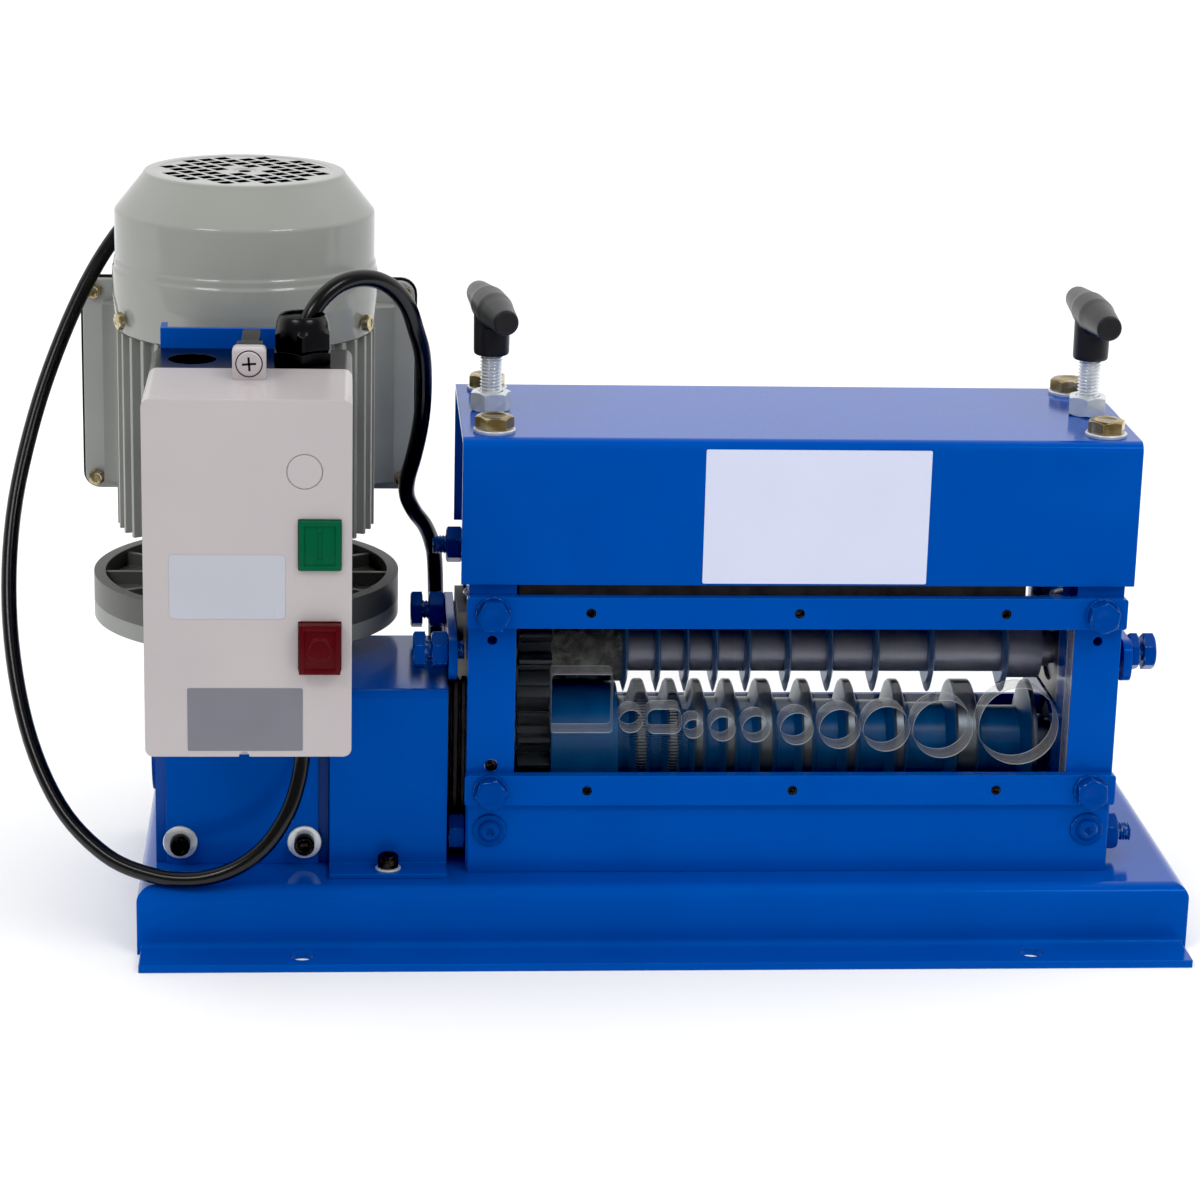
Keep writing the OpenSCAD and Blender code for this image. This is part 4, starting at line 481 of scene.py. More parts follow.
def acrylicFinish(name, look):
    made, tree, shader, inMm = startFinish(name, {"IOR": 1.49})
    normal = put(tree, "SeparateXYZ", {0: put(tree, "NewGeometry").outputs["Normal"]})
    facing = put(tree, "Math", {0: normal.outputs[1]}, operation="ABSOLUTE")
    wall = put(tree, "MapRange", {"Value": facing, "From Min": 0.6, "From Max": 0.2})
    depth = put(tree, "SeparateXYZ", {0: inMm}).outputs[1]
    line = put(tree, "CombineXYZ", {1: depth})
    rings = put(tree, "TexNoise", {"Vector": line, "Scale": 1 / look["rings"], "Detail": 2})
    frosted = put(tree, "Math", {0: wall, 1: rings}, operation="MULTIPLY")
    off = put(tree, "Math", {0: depth, 1: look["middle"]}, operation="SUBTRACT")
    off = put(tree, "Math", {0: off}, operation="ABSOLUTE")
    # painted highlight: the wall's ends near both faces turn pale and more opaque
    lip = put(tree, "MapRange", {"Value": off, "From Min": look["half"] - look["highlightWide"],
                                 "From Max": look["half"] - 0.3, "To Max": 0.85})
    cut = put(tree, "Mix", {0: lip, 6: look["frost"], 7: look["lip"]}, data_type="RGBA").outputs[2]
    tone = put(tree, "Mix", {0: wall, 6: look["clear"], 7: cut}, data_type="RGBA").outputs[2]
    rough = put(tree, "MapRange", {"Value": frosted, "From Max": 0.6, "To Max": 0.5})
    through = put(tree, "MapRange", {"Value": wall, "To Min": 1.0, "To Max": 0.15})
    body = put(tree, "MapRange", {"Value": frosted, "From Max": 0.6, "To Min": look["veil"], "To Max": look["cloud"]})
    rim = put(tree, "Math", {0: lip, 1: wall}, operation="MULTIPLY")
    solid = put(tree, "Math", {0: body, 1: rim}, operation="MAXIMUM")
    for key, value in {"Base Color": tone, "Roughness": rough.outputs[0],
                       "Transmission Weight": through.outputs[0], "Alpha": solid.outputs[0]}.items():
        tree.links.new(value, shader.inputs[key])
    return made


blueEnamel = enamelFinish("stoveEnamelBlue", enamelLook)
boltLook = {**enamelLook, "deep": "#053680", "fresh": "#084092", "edge": 1.3, "peel": 0.9}
boltEnamel = enamelFinish("stoveEnamelOnBolts", boltLook, gloss=0.2, worn=0.52)
zincSteel = platedFinish("brightZincSteel", ["#CAD2D8", "#D6DCE0", "#EAECEE"], 8, 0.22, metal=0.5)
yellowZinc = platedFinish("yellowChromateSteel", ["#7C6A40", "#A08A5A", "#DCCBA4"], 9, 0.22, metal=0.85)
threadZinc = platedFinish("cutThreadZinc", ["#DCE2E6", "#E6EAED", "#F2F4F5"], 8, 0.22, 0.06, 0.6)
paleChromate = platedFinish("paleChromateSteel", ["#8E7F58", "#B5A57C", "#E2DAC2"], 2.5, 0.2)
rollerSteel = turnedFinish("turnedRollerSteel", ["#7F8890", "#AEB6BC", "#D5DADD"], 0.30, feedHigh)
arborSteel = turnedFinish("turnedArborSteel", ["#858590", "#ABABB5", "#C6C6CC"], 0.46, bladeHigh)
knurlSteel = platedFinish("knurledDarkSteel", ["#454642", "#62625D", "#8C8C86"], 6, 0.4, 0.08)
milledSteel = turnedFinish("milledBlockSteel", ["#67645F", "#98958F", "#C4C1BC"], 0.34, bladeHigh, 1.6)
# the blades' blue tones are a painted reflection of the blue frame around them
bladeSteelBlueReflection = turnedFinish("bladeSteelPaintedBlueReflection", ["#1F4E86", "#33659C", "#A9B8C8"], 0.30, bladeHigh, 0.35, 0.4)
gearSteel = turnedFinish("oiledGearSteel", ["#2A2D31", "#474A4E", "#7A766F"], 0.36, bladeHigh, 0.8, 0.6)
feedSteel = rollerFinish("blueRollerWithPaintedBounce", rollerLook)
sleeveEnamel = rollerFinish("blueSleeveEnamel", {**rollerLook, "crest": (33.0, 35.0), "teeth": (90.0, 91.0)})
# blued steel: nearly black, a brown cast where the oxide is thin
blackOxide = platedFinish("blackOxideSteel", ["#141416", "#221F1E", "#4A443F"], 2, 0.36)
bronze = platedFinish("castBronze", ["#7C5A2E", "#A37B42", "#C79E5E"], 6, 0.35)
# grey machine enamel on iron and pressed sheet: satin, the casting's skin shows as a soft ripple
castGrey = ["#868884", "#959793", "#ABADA9"]
greyCasting = skinFinish("greyEnamelCasting", castGrey, 40, 0.34, 2.4, 0.14)
gearEnamel = skinFinish("greyAndBlueEnamelCasting", castGrey, 40, 0.34, 2.4, 0.14, spec=0.2,
                        dip=(139.0, enamelLook["deep"]))
flangeCasting = skinFinish("greyEnamelFlange", ["#50504D", "#5E5E5B", "#7A7A77"], 30, 0.40, 2.4, 0.2)
boxEnamel = skinFinish("greyEnamelBox", ["#999B98", "#A8AAA7", "#CFD1CE"], 40, 0.30, 2.4, 0.10, 1.0)
greySheet = skinFinish("greyEnamelSheet", ["#8A8C87", "#939590", "#A6A8A3"], 60, 0.12, 2.2, 0.015)
# moulded phenolic and ABS: even colour, a fine spark-eroded grain and a waxy gloss
blackPlastic = skinFinish("mouldedBlackPlastic", ["#0B0B0D", "#111114", "#242427"], 20, 0.24, 0.7, 0.05, spec=0.35)
handleBlack = skinFinish("handleBlackPhenolic", ["#212124", "#29292C", "#3C3C3F"], 12, 0.32, 0.8, 0.08, spec=0.2)
whitePlastic = skinFinish("mouldedWhiteAbs", ["#AFA8AA", "#B6B0B1", "#CFCBCA"], 50, 0.22, 0.9, 0.03, 1.0)
greenPlastic = skinFinish("mouldedGreenPlastic", ["#004C30", "#005939", "#03714B"], 16, 0.36, 0.8, 0.04, spec=0.15)
redPlastic = skinFinish("mouldedRedPlastic", ["#45050B", "#52070E", "#76161C"], 16, 0.36, 0.8, 0.04, spec=0.15)
# PVC sheath: soft black with a dull sheen and a slight drag from the extruder
cordRubber = skinFinish("blackCordRubber", ["#08080A", "#0E0E10", "#1C1C1E"], 9, 0.22, 1.1, 0.03, spec=0.4)
# blank film: white vinyl and brushed silver foil
whiteFilm = skinFinish("blankWhiteFilm", ["#C6CBE1", "#CCD1E7", "#E0E4F2"], 40, 0.30, 1.5, 0.02, 0.15)
paleFilm = skinFinish("blankPaleFilm", ["#ADAFB9", "#B4B6C0", "#D2D4DC"], 40, 0.26, 1.5, 0.02, 0.15)
silverFilm = skinFinish("blankSilverFilm", ["#6D6E77", "#75767F", "#9A9BA3"], 30, 0.32, 0.6, 0.05, 0.15)
# sheet rubber: matt, with pale streaks
rubberSheet = skinFinish("streakedSheetRubber", ["#24201E", "#5E5854", "#76716D"], 7, 0.6, 1.0, 0.1)
acrylic = acrylicFinish("castAcrylicGuard", acrylicLook)
# painted shade on the fan cover's inside: a matt black standing for the dark within it
insideShade = skinFinish("fanCoverInsideShade", ["#0C0C0C", "#121212", "#1A1A1A"], 30, 0.7, 1.5, 0.05)

# finishes of the solids that stay as they are
solidFinishes = (
    (blueEnamel, "base_tray left_side_plate right_side_plate front_top_bar front_bottom_bar front_panel"
                 " back_panel top_cover bearing_straps drive_cover bracket_plate"),
    (gearEnamel, "gearbox_housing"), (acrylic, "guard_panel"), (milledSteel, "bearing_blocks"),
    (arborSteel, "blade_bearings shaft_bearings blade_shaft blade_spacers"), (bladeSteelBlueReflection, "disc_blades"),
    (gearSteel, "upper_gear lower_gear"), (rollerSteel, "feed_shaft motor_rotor knurled_roller"),
    (feedSteel, "feed_roller"), (blackOxide, "coupling worm"), (bronze, "worm_wheel"),
    (flangeCasting, "motor_flange"), (greyCasting, "motor_housing"), (boxEnamel, "terminal_box"),
    (blackPlastic, "cooling_fan contactor mains_plug"), (greySheet, "fan_cover"),
)
for finish, nodes in solidFinishes:
    for node in nodes.split():
        cad[node].data.materials.clear()
        cad[node].data.materials.append(finish)
for cord in (motorLead, powerCord):
    cord.data.materials.append(cordRubber)
print("finishes mixed:", len(bpy.data.materials))


# hands a geometry nodes tree its named inputs and keeps the result as plain mesh
def grow(piece, tree, values):
    step = piece.modifiers.new(tree.name, "NODES")
    step.node_group = tree
    for item in tree.interface.items_tree:
        if item.item_type == "SOCKET" and item.in_out == "INPUT" and item.name in values:
            step[item.identifier] = values[item.name]
    return applyAll(piece)


def openTree(name, sockets):
    tree = bpy.data.node_groups.new(name, "GeometryNodeTree")
    for label, kind in sockets.items():
        tree.interface.new_socket(label, in_out="INPUT", socket_type="NodeSocket" + kind)
    tree.interface.new_socket("Result", in_out="OUTPUT", socket_type="NodeSocketGeometry")
    return tree, put(tree, "NodeGroupInput").outputs


def closeTree(tree, given, shape):
    real = put(tree, "GeometryNodeRealizeInstances", {0: shape})
    dressed = put(tree, "GeometryNodeSetMaterial", {"Geometry": real, "Material": given["Finish"]})
    put(tree, "NodeGroupOutput", {0: dressed})
    return tree


# sets one pattern on every point, turned by the point's own "turn"
def makeScatterTree():
    tree, given = openTree("fastenerScatter", {"Places": "Geometry", "Pattern": "Object", "Finish": "Material"})
    shape = put(tree, "GeometryNodeObjectInfo", {"Object": given["Pattern"]})
    turn = put(tree, "GeometryNodeInputNamedAttribute", {"Name": "turn"}, data_type="FLOAT_VECTOR")
    spin = put(tree, "FunctionNodeEulerToRotation", {0: turn})
    spread = put(tree, "GeometryNodeInstanceOnPoints",
                 {"Points": given["Places"], "Instance": shape.outputs["Geometry"], "Rotation": spin})
    return closeTree(tree, given, spread)


# a round rod with grooves cut along helices: one start is a screw thread, many crossed starts a knurl
def makeCutRodTree():
    floats = {label: "Float" for label in ("Radius", "Length", "Depth", "Lead", "Starts", "Cross")}
    tree, given = openTree("cutRod", {"Base": "Geometry", **floats, "Around": "Int", "Along": "Int",
                                      "Finish": "Material"})
    grid = put(tree, "GeometryNodeMeshGrid", {"Size X": 1.0, "Size Y": 1.0, "Vertices X": given["Around"],
                                              "Vertices Y": given["Along"]})
    spot = put(tree, "SeparateXYZ", {0: put(tree, "GeometryNodeInputPosition")})
    part = put(tree, "Math", {0: spot.outputs[0], 1: 0.5}, operation="ADD")
    rise = put(tree, "Math", {0: spot.outputs[1], 1: 0.5}, operation="ADD")
    high = put(tree, "Math", {0: rise, 1: given["Length"]}, operation="MULTIPLY")
    steps = put(tree, "Math", {0: high, 1: given["Lead"]}, operation="DIVIDE")
    starts = put(tree, "Math", {0: part, 1: given["Starts"]}, operation="MULTIPLY")
    waves = []
    for way in ("ADD", "SUBTRACT"):
        helix = put(tree, "Math", {0: steps, 1: starts}, operation=way)
        phase = put(tree, "Math", {0: helix}, operation="FRACT")
        middle = put(tree, "Math", {0: phase, 1: 0.5}, operation="SUBTRACT")
        side = put(tree, "Math", {0: middle}, operation="ABSOLUTE")
        waves.append(put(tree, "MapRange", {"Value": side, "From Max": 0.42, "To Min": 1.0, "To Max": 0.0}))
    crossed = put(tree, "Math", {0: waves[1], 1: given["Cross"]}, operation="MULTIPLY")
    cut = put(tree, "Math", {0: waves[0], 1: crossed}, operation="MAXIMUM")
    deep = put(tree, "Math", {0: cut, 1: given["Depth"]}, operation="MULTIPLY")
    reach = put(tree, "Math", {0: given["Radius"], 1: deep}, operation="SUBTRACT")
    angle = put(tree, "Math", {0: part, 1: 2 * math.pi}, operation="MULTIPLY")
    ways = [put(tree, "Math", {0: angle}, operation=way) for way in ("COSINE", "SINE")]
    sides = [put(tree, "Math", {0: way, 1: reach}, operation="MULTIPLY") for way in ways]
    place = put(tree, "CombineXYZ", {0: sides[0], 1: sides[1], 2: high})
    wrapped = put(tree, "GeometryNodeSetPosition", {"Geometry": grid, "Position": place})
    seamed = put(tree, "GeometryNodeMergeByDistance", {"Geometry": wrapped, "Distance": 1e-6})
    return closeTree(tree, given, seamed)


scatterTree = makeScatterTree()
cutRodTree = makeCutRodTree()


def turnTo(along, spin=0.0):
    return Vector(up).rotation_difference(Vector(along)) @ Quaternion(up, math.radians(spin))


# one piece with the pattern at every place; a place is a point, the way its +Z looks, and a spin in degrees
def scatter(name, shape, places, finish, sharp=35):
    pattern = tidyPiece(name + "Pattern", shape, sharp)
    piece = meshPiece(name, [p for p, _, _ in places], [])
    turns = piece.data.attributes.new("turn", "FLOAT_VECTOR", "POINT")
    for spot, (_, along, spin) in zip(turns.data, places):
        spot.vector = turnTo(along, spin).to_euler()
    grow(piece, scatterTree, {"Pattern": pattern, "Finish": finish})
    bpy.data.objects.remove(pattern)
    smoothMesh(piece.data, sharp)
    return piece


# one cut rod from a place along a direction
def cutRod(name, place, along, size, finish):
    piece = meshPiece(name, [(0, 0, 0)], [])
    lengths = {"Radius": size["thick"] / 2, "Length": size["long"], "Depth": size["deep"], "Lead": size["lead"]}
    grow(piece, cutRodTree, {
        **{label: value * mm for label, value in lengths.items()},
        "Starts": float(size["starts"]), "Cross": float(size.get("cross", 0)), "Around": size["around"] + 1,
        "Along": round(size["long"] / size["lead"] * size.get("fine", 6)) + 1, "Finish": finish})
    tidyMesh(piece.data, 40, fill=True)
    piece.data.transform(Matrix.Translation(Vector(place) * mm) @ turnTo(along).to_matrix().to_4x4())
    return piece


# fasteners: metric sizes, flats across the hexagon and heights
boltSizes = {"flats": 17, "barFlats": 14.6, "head": 6.4, "nut": 8.5, "thinNut": 5.2, "bore": 5.1,
             "lockFlats": 18.4, "lockNut": 10.2, "lockBore": 5.9}
capSizes = {"radius": 5.2, "knurl": 0.14, "steps": 96}
thread = {"thick": 9.9, "deep": 0.85, "lead": 1.5, "starts": -1, "around": 28}


# height of a hexagon's edge under its 30 degree chamfer
def chamferDrop(flats, a, slope):
    return max(hexRadius(flats, a) - 0.475 * flats, 0) * slope


def hexHead(flats, high, slope=0.55, ring=0.3):
    face = 0.475 * flats
    return turned([(face, 0), (face, ring), lambda a: (hexRadius(flats, a), ring),
                   lambda a: (hexRadius(flats, a), high - chamferDrop(flats, a, slope)), (face, high),
                   (face * 0.62, high), (face * 0.56, high - 0.25)])


def hexNut(flats, high, bore, slope=0.55):
    face = 0.475 * flats
    return turned([(bore, 0.5), (bore + 0.5, 0), (face, 0),
                   lambda a: (hexRadius(flats, a), chamferDrop(flats, a, slope)),
                   lambda a: (hexRadius(flats, a), high - chamferDrop(flats, a, slope)), (face, high),
                   (bore + 0.7, high), (bore, high - 0.7), (bore, 0.5)], close=False)


def flatWasher(wide, bore, thick):
    r, hole = wide / 2, bore / 2
    return turned([(hole, 0), (r - 0.2, 0), (r, 0.3), (r, thick - 0.4), (r - 0.4, thick), (hole + 0.3, thick),
                   (hole, thick - 0.3), (hole, 0)], close=False)


# round heads with a hexagon socket
def socketHead(outline, flats, top, floor, steps=48):
    return turned([*outline, (flats / 2 / math.cos(math.pi / 6) + 0.25, top),
                   lambda a: (hexRadius(flats, a), top - 0.3), lambda a: (hexRadius(flats, a), floor),
                   (0.2, floor - 0.4)], steps)


def knurledSide(a):
    tooth = round(a / (2 * math.pi) * capSizes["steps"]) % 2
    return capSizes["radius"] - capSizes["knurl"] * tooth


# settles fasteners on the frame, several groups as one piece
def fasten(slot, groups, *solids):
    settle(gather(*groups) if len(groups) > 1 else groups[0], "frame", slot, None, *solids)


def spoke(turn):
    return math.cos(math.radians(turn)), math.sin(math.radians(turn))


# places of the panels' screws, this far off their washers' seats
def panelPlaces(off):
    return [((x, y, 58), way, 0) for x in mids for y, way in ((-69 - off, front), (57 + off, back))]


barSpots = [(x, z) for x in mids for z in (174, 80)]
strapSpots = [(y, 145.5) for y in (-42, 30)]
tieSpots = [(40, 178.5), (-48, 49)]
coverSpots = [(x, y) for x in mids for y in (-53, 41)]
bracketX, footX, footY = (-247.5, -184.5), -141.9, (-70, 45)
b = boltSizes
boltHead = hexHead(b["flats"], b["head"])

# painted with the frame: bar bolts, strap bolts with their nuts, tie rods with theirs, bar and panel washers
fasten("blue_paint", [
    scatter("barBolts", hexHead(b["barFlats"], b["head"]),
            [((x, -74, z), front, 30 + 11 * k) for k, (x, z) in enumerate(barSpots)], boltEnamel),
    scatter("strapBolts", boltHead,
            [((x, y, z), way, 30) for x, way in ((-123.3, left), (246.0, right)) for y, z in strapSpots]
            + [((x, y, 31), down, 30) for x in mids for y in (-26, 14)], boltEnamel),
    *[cutRod("strapShank", (end, y, z), way, {**thread, "long": 20}, boltEnamel)
      for end, way in ((-123.6, right), (246.3, left)) for y, z in strapSpots]], "frame_bolts")

# the upper tie rod ends flush in the right plate, without a nut
fasten("blue_paint", [
    scatter("frameNuts", hexNut(b["flats"], b["nut"], b["bore"]),
            [((-102.5, y, z), left, 30) for y, z in tieSpots]
            + [((229.5, y, z), right, 30) for y, z in tieSpots[1:]]
            + [((-111.8, y, z), left, 30) for y, z in strapSpots], boltEnamel),
    scatter("thinNuts", hexNut(b["flats"], b["thinNut"], b["bore"]),
            [((238.8, y, z), right, 30) for y, z in strapSpots], boltEnamel)], "hex_nuts")

rodSizes = {"ends": (-90, 218), "cuts": ((28, 11.6), (21, 27))}  # the plain part, then the thread at each end
rods = [tidyPiece(name, barAlong([(x, y, z) for x in rodSizes["ends"]], thread["thick"], 32))
        for name, (y, z) in zip(("tieRods", "lowRod"), tieSpots)]
rods += [cutRod("rodEnd", (x, y, z), way, {**thread, "long": cut}, boltEnamel)
         for (y, z), cuts in zip(tieSpots, rodSizes["cuts"])
         for x, way, cut in zip(rodSizes["ends"], (left, right), cuts)]
settle(gather(*rods), "frame", "blue_paint", boltEnamel, "tie_rods")

fasten("blue_paint", [
    scatter("paintedWashers", flatWasher(18, 10, 2), [((x, -72, z), front, 0) for x, z in barSpots], boltEnamel),
    scatter("panelWashers", flatWasher(17, 6.2, 1.5), panelPlaces(0), boltEnamel)], "plain_washers")
fasten("zinc_steel", [
    scatter("coverWashers", flatWasher(21, 10, 2), [((x, y, 262.5), up, 0) for x, y in coverSpots], zincSteel),
    scatter("bracketWashers", flatWasher(17.6, 8.2, 1.5), [((x, -56, 47), front, 0) for x in bracketX], zincSteel),
    scatter("footWashers", flatWasher(13, 8.2, 1.2), [((footX, y, 37.5), up, 0) for y in footY], zincSteel)])

panelHead = [(5.7, 0), (5.7, 0.5), (5.4, 1.5), (4.7, 2.5), (3.9, 3.1), (3.2, 3.3)]
fasten("blue_paint", [scatter("panelScrews", socketHead(panelHead, 4, 3.3, 1.4), panelPlaces(1.5), boltEnamel)],
       "panel_screws")
guardHead = [(2.5, -1), (2.5, -0.5), (2.2, 0)]
guardPlaces = [((x, -71.9, z), front, 10) for x in (-41.5, 63.5, 168.5) for z in (174, 80)]
fasten("black_oxide", [scatter("guardScrews", socketHead(guardHead, 2.5, 0, -1.6), guardPlaces, blackOxide)])
capHead = [(4.8, 0), lambda a: (knurledSide(a), 0.4), lambda a: (knurledSide(a), 5.6), (5.0, 5.9), (4.5, 6.5)]
capPlaces = [((x, -57.5, 47), front, 8) for x in bracketX] + [((footX, y, 38.7), up, 12) for y in footY]
fasten("black_oxide", [scatter("capHeads", socketHead(capHead, 5, 6.5, 3.2, capSizes["steps"]), capPlaces,
                               blackOxide, 30)], "socket_screws")

fasten("zinc_steel", [scatter("lockNuts", hexNut(b["lockFlats"], b["lockNut"], b["lockBore"]),
                              [((x, axisY, 262.5), up, s) for x, s in zip(mids, (-18, -12))], zincSteel)],
       "lock_nuts")
fasten("yellow_zinc", [scatter("coverBolts", boltHead,
                               [((x, y, 264.5), up, s) for (x, y), s in zip(coverSpots, (-28, -12, -22, -34))],
                               yellowZinc)], "cover_bolts")
fasten("yellow_zinc", [
    scatter("fanScrews", hexHead(8, 3.5, 0.7),
            [((motorX + 68.6 * c, motorY + 68.6 * s, 303), (c, s, 0), 12)
             for c, s in map(spoke, (27, 153, 207, 333))], paleChromate),
    scatter("boxScrews", hexHead(8, 3), [((motorX + x, 114, 247 + z), front, 5) for x in (-83, 83)
                                         for z in (-51.5, 51.5)], paleChromate)], "motor_screws")
fasten("zinc_steel", [scatter("flangeBolts", hexHead(13, 5.3),
                              [((motorX + 65 * c, motorY + 65 * s, 155), up, 20)
                               for c, s in map(spoke, (45, 135, 225, 315))], zincSteel)], "flange_bolts")
print("fasteners set")

# springs over the bearing blocks: ten open turns of round wire with closed ends
springSizes = {"middle": 11.7, "wire": 2.6, "turns": 10, "low": 163.6, "high": 238.4, "closed": 0.9, "steps": 32}


def springLine(x, s):
    out = []
    ends, rise, total = s["closed"], s["wire"] * 1.25, s["turns"]
    for k in range(total * s["steps"] + 1):
        u = k / s["steps"]
        if u < ends:
            z = s["low"] + rise * u / ends
        elif u > total - ends:
            z = s["high"] - rise * (total - u) / ends
        else:
            z = s["low"] + rise + (s["high"] - s["low"] - 2 * rise) * (u - ends) / (total - 2 * ends)
        a = 2 * math.pi * u
        out.append((x + s["middle"] * math.cos(a), axisY + s["middle"] * math.sin(a), z))
    return out


bladeSprings = gather(*[tidyPiece("bladeSprings", barAlong(springLine(x, springSizes), springSizes["wire"], 10))
                        for x in mids])
bladeSprings.data.materials.append(zincSteel)
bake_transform(bladeSprings)
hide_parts("blade_springs")

# adjusting studs: a cut thread above, a plain shank and its pin in the bearing block below
studSizes = {"pin": 4, "shank": 4.9, "low": 162, "cut": 266, "long": 30.5}
studThread = {**thread, "thick": 11.4, "deep": 1.15, "lead": 1.75, "long": studSizes["long"], "around": 40, "fine": 8}
# T handles: the grip and its boss are fused and softened, as one moulding
handleSizes = {"bossR": 9.25, "foot": 291.5, "axis": 315.5, "voxel": 0.55, "half": 40, "turns": (8, 0),
               "grip": [(0, 5.4), (0.4, 6.0), (1.2, 6.4), (25, 8.6), (31, 9.4), (49, 9.4), (55, 8.6), (78.8, 6.4),
                        (79.6, 6.0), (80, 5.4)]}


def makeStud(side, x, s):
    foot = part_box(side + "_stud")[0][2] / mm
    shank = tidyPiece(side + "Stud", turned([(s["pin"] - 0.5, foot), (s["pin"], foot + 0.5), (s["pin"], s["low"]),
                                             (s["shank"] - 0.3, s["low"]), (s["shank"], s["low"] + 0.4),
                                             (s["shank"], s["cut"])], 32))
    standAt(shank.data, (x, axisY, 0))
    screw = cutRod("studScrew", (x, axisY, s["cut"]), up, studThread, threadZinc)
    settle(gather(shank, screw), side + "_adjuster", "zinc_steel", threadZinc, side + "_stud")


def makeHandle(side, x, turn, s):
    boss = s["bossR"]
    post = tidyPiece(side + "Handle", turned([(boss - 1.2, s["foot"]), (boss - 0.5, s["foot"] + 0.4),
                                              (boss - 0.2, s["foot"] + 1.4), (boss, s["axis"] - 2)], 64))
    grip = meshPiece("grip", *turned([(r, z) for z, r in s["grip"]], 64))
    middle = Vector((0, -s["half"], s["axis"])) * mm
    grip.data.transform(Matrix.Translation(middle) @ turnTo(back).to_matrix().to_4x4())
    tidyMesh(grip.data)
    gather(post, grip)
    fuse = post.modifiers.new("fuse", "REMESH")
    fuse.mode = "VOXEL"
    fuse.voxel_size = s["voxel"] * mm
    post.modifiers.new("soft", "SMOOTH").iterations = 7
    applyAll(post)
    place = Matrix.Translation((x * mm, axisY * mm, 0))
    post.data.transform(place @ Matrix.Rotation(math.radians(turn), 4, "Z"))
    smoothMesh(post.data, 60)
    settle(post, side + "_adjuster", "black_plastic", handleBlack, side + "_handle")


sides = list(zip(("left", "right"), mids, handleSizes["turns"]))
for side, x, turn in sides:
    makeStud(side, x, studSizes)
for side, x, turn in sides:
    makeHandle(side, x, turn, handleSizes)

# knurled roller: crossed cuts, 45 degrees each way
knurl = {"thick": 36.4, "long": 36.9, "deep": 0.55, "lead": 2.0, "starts": 57, "cross": 1, "around": 342}
knurled = cutRod("knurledRoller", (-57.93, axisY, bladeHigh), right, knurl, knurlSteel)
settle(knurled, "blade_arbor", "dark_steel", knurlSteel, "knurled_roller")
print("springs, studs, handles and knurl made")

# fan cover: one spun sheet with a punched grille of square holes
fanSizes = {"foot": 295.3, "sheet": 1.8, "ease": 1.3, "steps": 128, "hole": 7.0, "step": 9.4, "turn": 33,
            "inner": 11, "outer": 40, "punch": 12, "top": 80, "wall": 50, "grille": 46,
            "side": [(66.4, 0), (68.2, 17), (68.2, 30.6), (67.4, 31.9), (67.3, 34.8), (66.6, 36.1), (66.6, 60.5),
                     (52.2, 78.5), (51, 80.5)],
            "crown": [(45, 80.5), (44.4, 80.2), (6.5, 80.2), (5.5, 79.7), (3.2, 79.7)],
            "under": [(3.2, 79.1), (6, 79.1), (7, 79.6), (46, 79.6)],
            "inside": [(51, 78.7), (66.8, 59.8), (66.8, 37.2), (68.2, 31), (68.2, 17), (66.4, 0)]}


# rounds the corners of an outline with short arcs
def easeCorners(line, size, steps=4):
    out = [line[0]]
    for a, b, c in zip(line, line[1:], line[2:]):
        a, b, c = Vector(a), Vector(b), Vector(c)
        cut = min(size, (a - b).length * 0.45, (c - b).length * 0.45)
        p, q = b + (a - b).normalized() * cut, b + (c - b).normalized() * cut
        for k in range(steps + 1):
            t = k / steps
            out.append(tuple(p * (1 - t) ** 2 + b * 2 * t * (1 - t) + q * t * t))
    return out + [line[-1]]


# punches for the grille: one square on each crossing of a turned grid, inside a ring
def makePunchTree():
    floats = {label: "Float" for label in ("Hole", "Step", "Turn", "Inner", "Outer", "High")}
    tree, given = openTree("grillePunches", {"Base": "Geometry", **floats, "Finish": "Material"})
    wide = put(tree, "Math", {0: given["Step"], 1: 12.0}, operation="MULTIPLY")
    grid = put(tree, "GeometryNodeMeshGrid", {"Size X": wide, "Size Y": wide, "Vertices X": 13, "Vertices Y": 13})
    spot = put(tree, "GeometryNodeInputPosition")
    reach = put(tree, "VectorMath", {0: spot}, operation="LENGTH").outputs["Value"]
    past, within = (put(tree, "FunctionNodeCompare", {0: reach, 1: given[label]}, data_type="FLOAT", operation=way)
                    for label, way in (("Inner", "GREATER_THAN"), ("Outer", "LESS_THAN")))
    kept = put(tree, "FunctionNodeBooleanMath", {0: past, 1: within}, operation="AND")
    size = put(tree, "CombineXYZ", {0: given["Hole"], 1: given["Hole"], 2: given["High"]})
    punch = put(tree, "GeometryNodeMeshCube", {"Size": size})
    spread = put(tree, "GeometryNodeInstanceOnPoints", {"Points": grid, "Selection": kept, "Instance": punch})
    real = put(tree, "GeometryNodeRealizeInstances", {0: spread})
    turn = put(tree, "CombineXYZ", {2: given["Turn"]})
    return closeTree(tree, given, put(tree, "GeometryNodeTransform", {"Geometry": real, "Rotation": turn}))


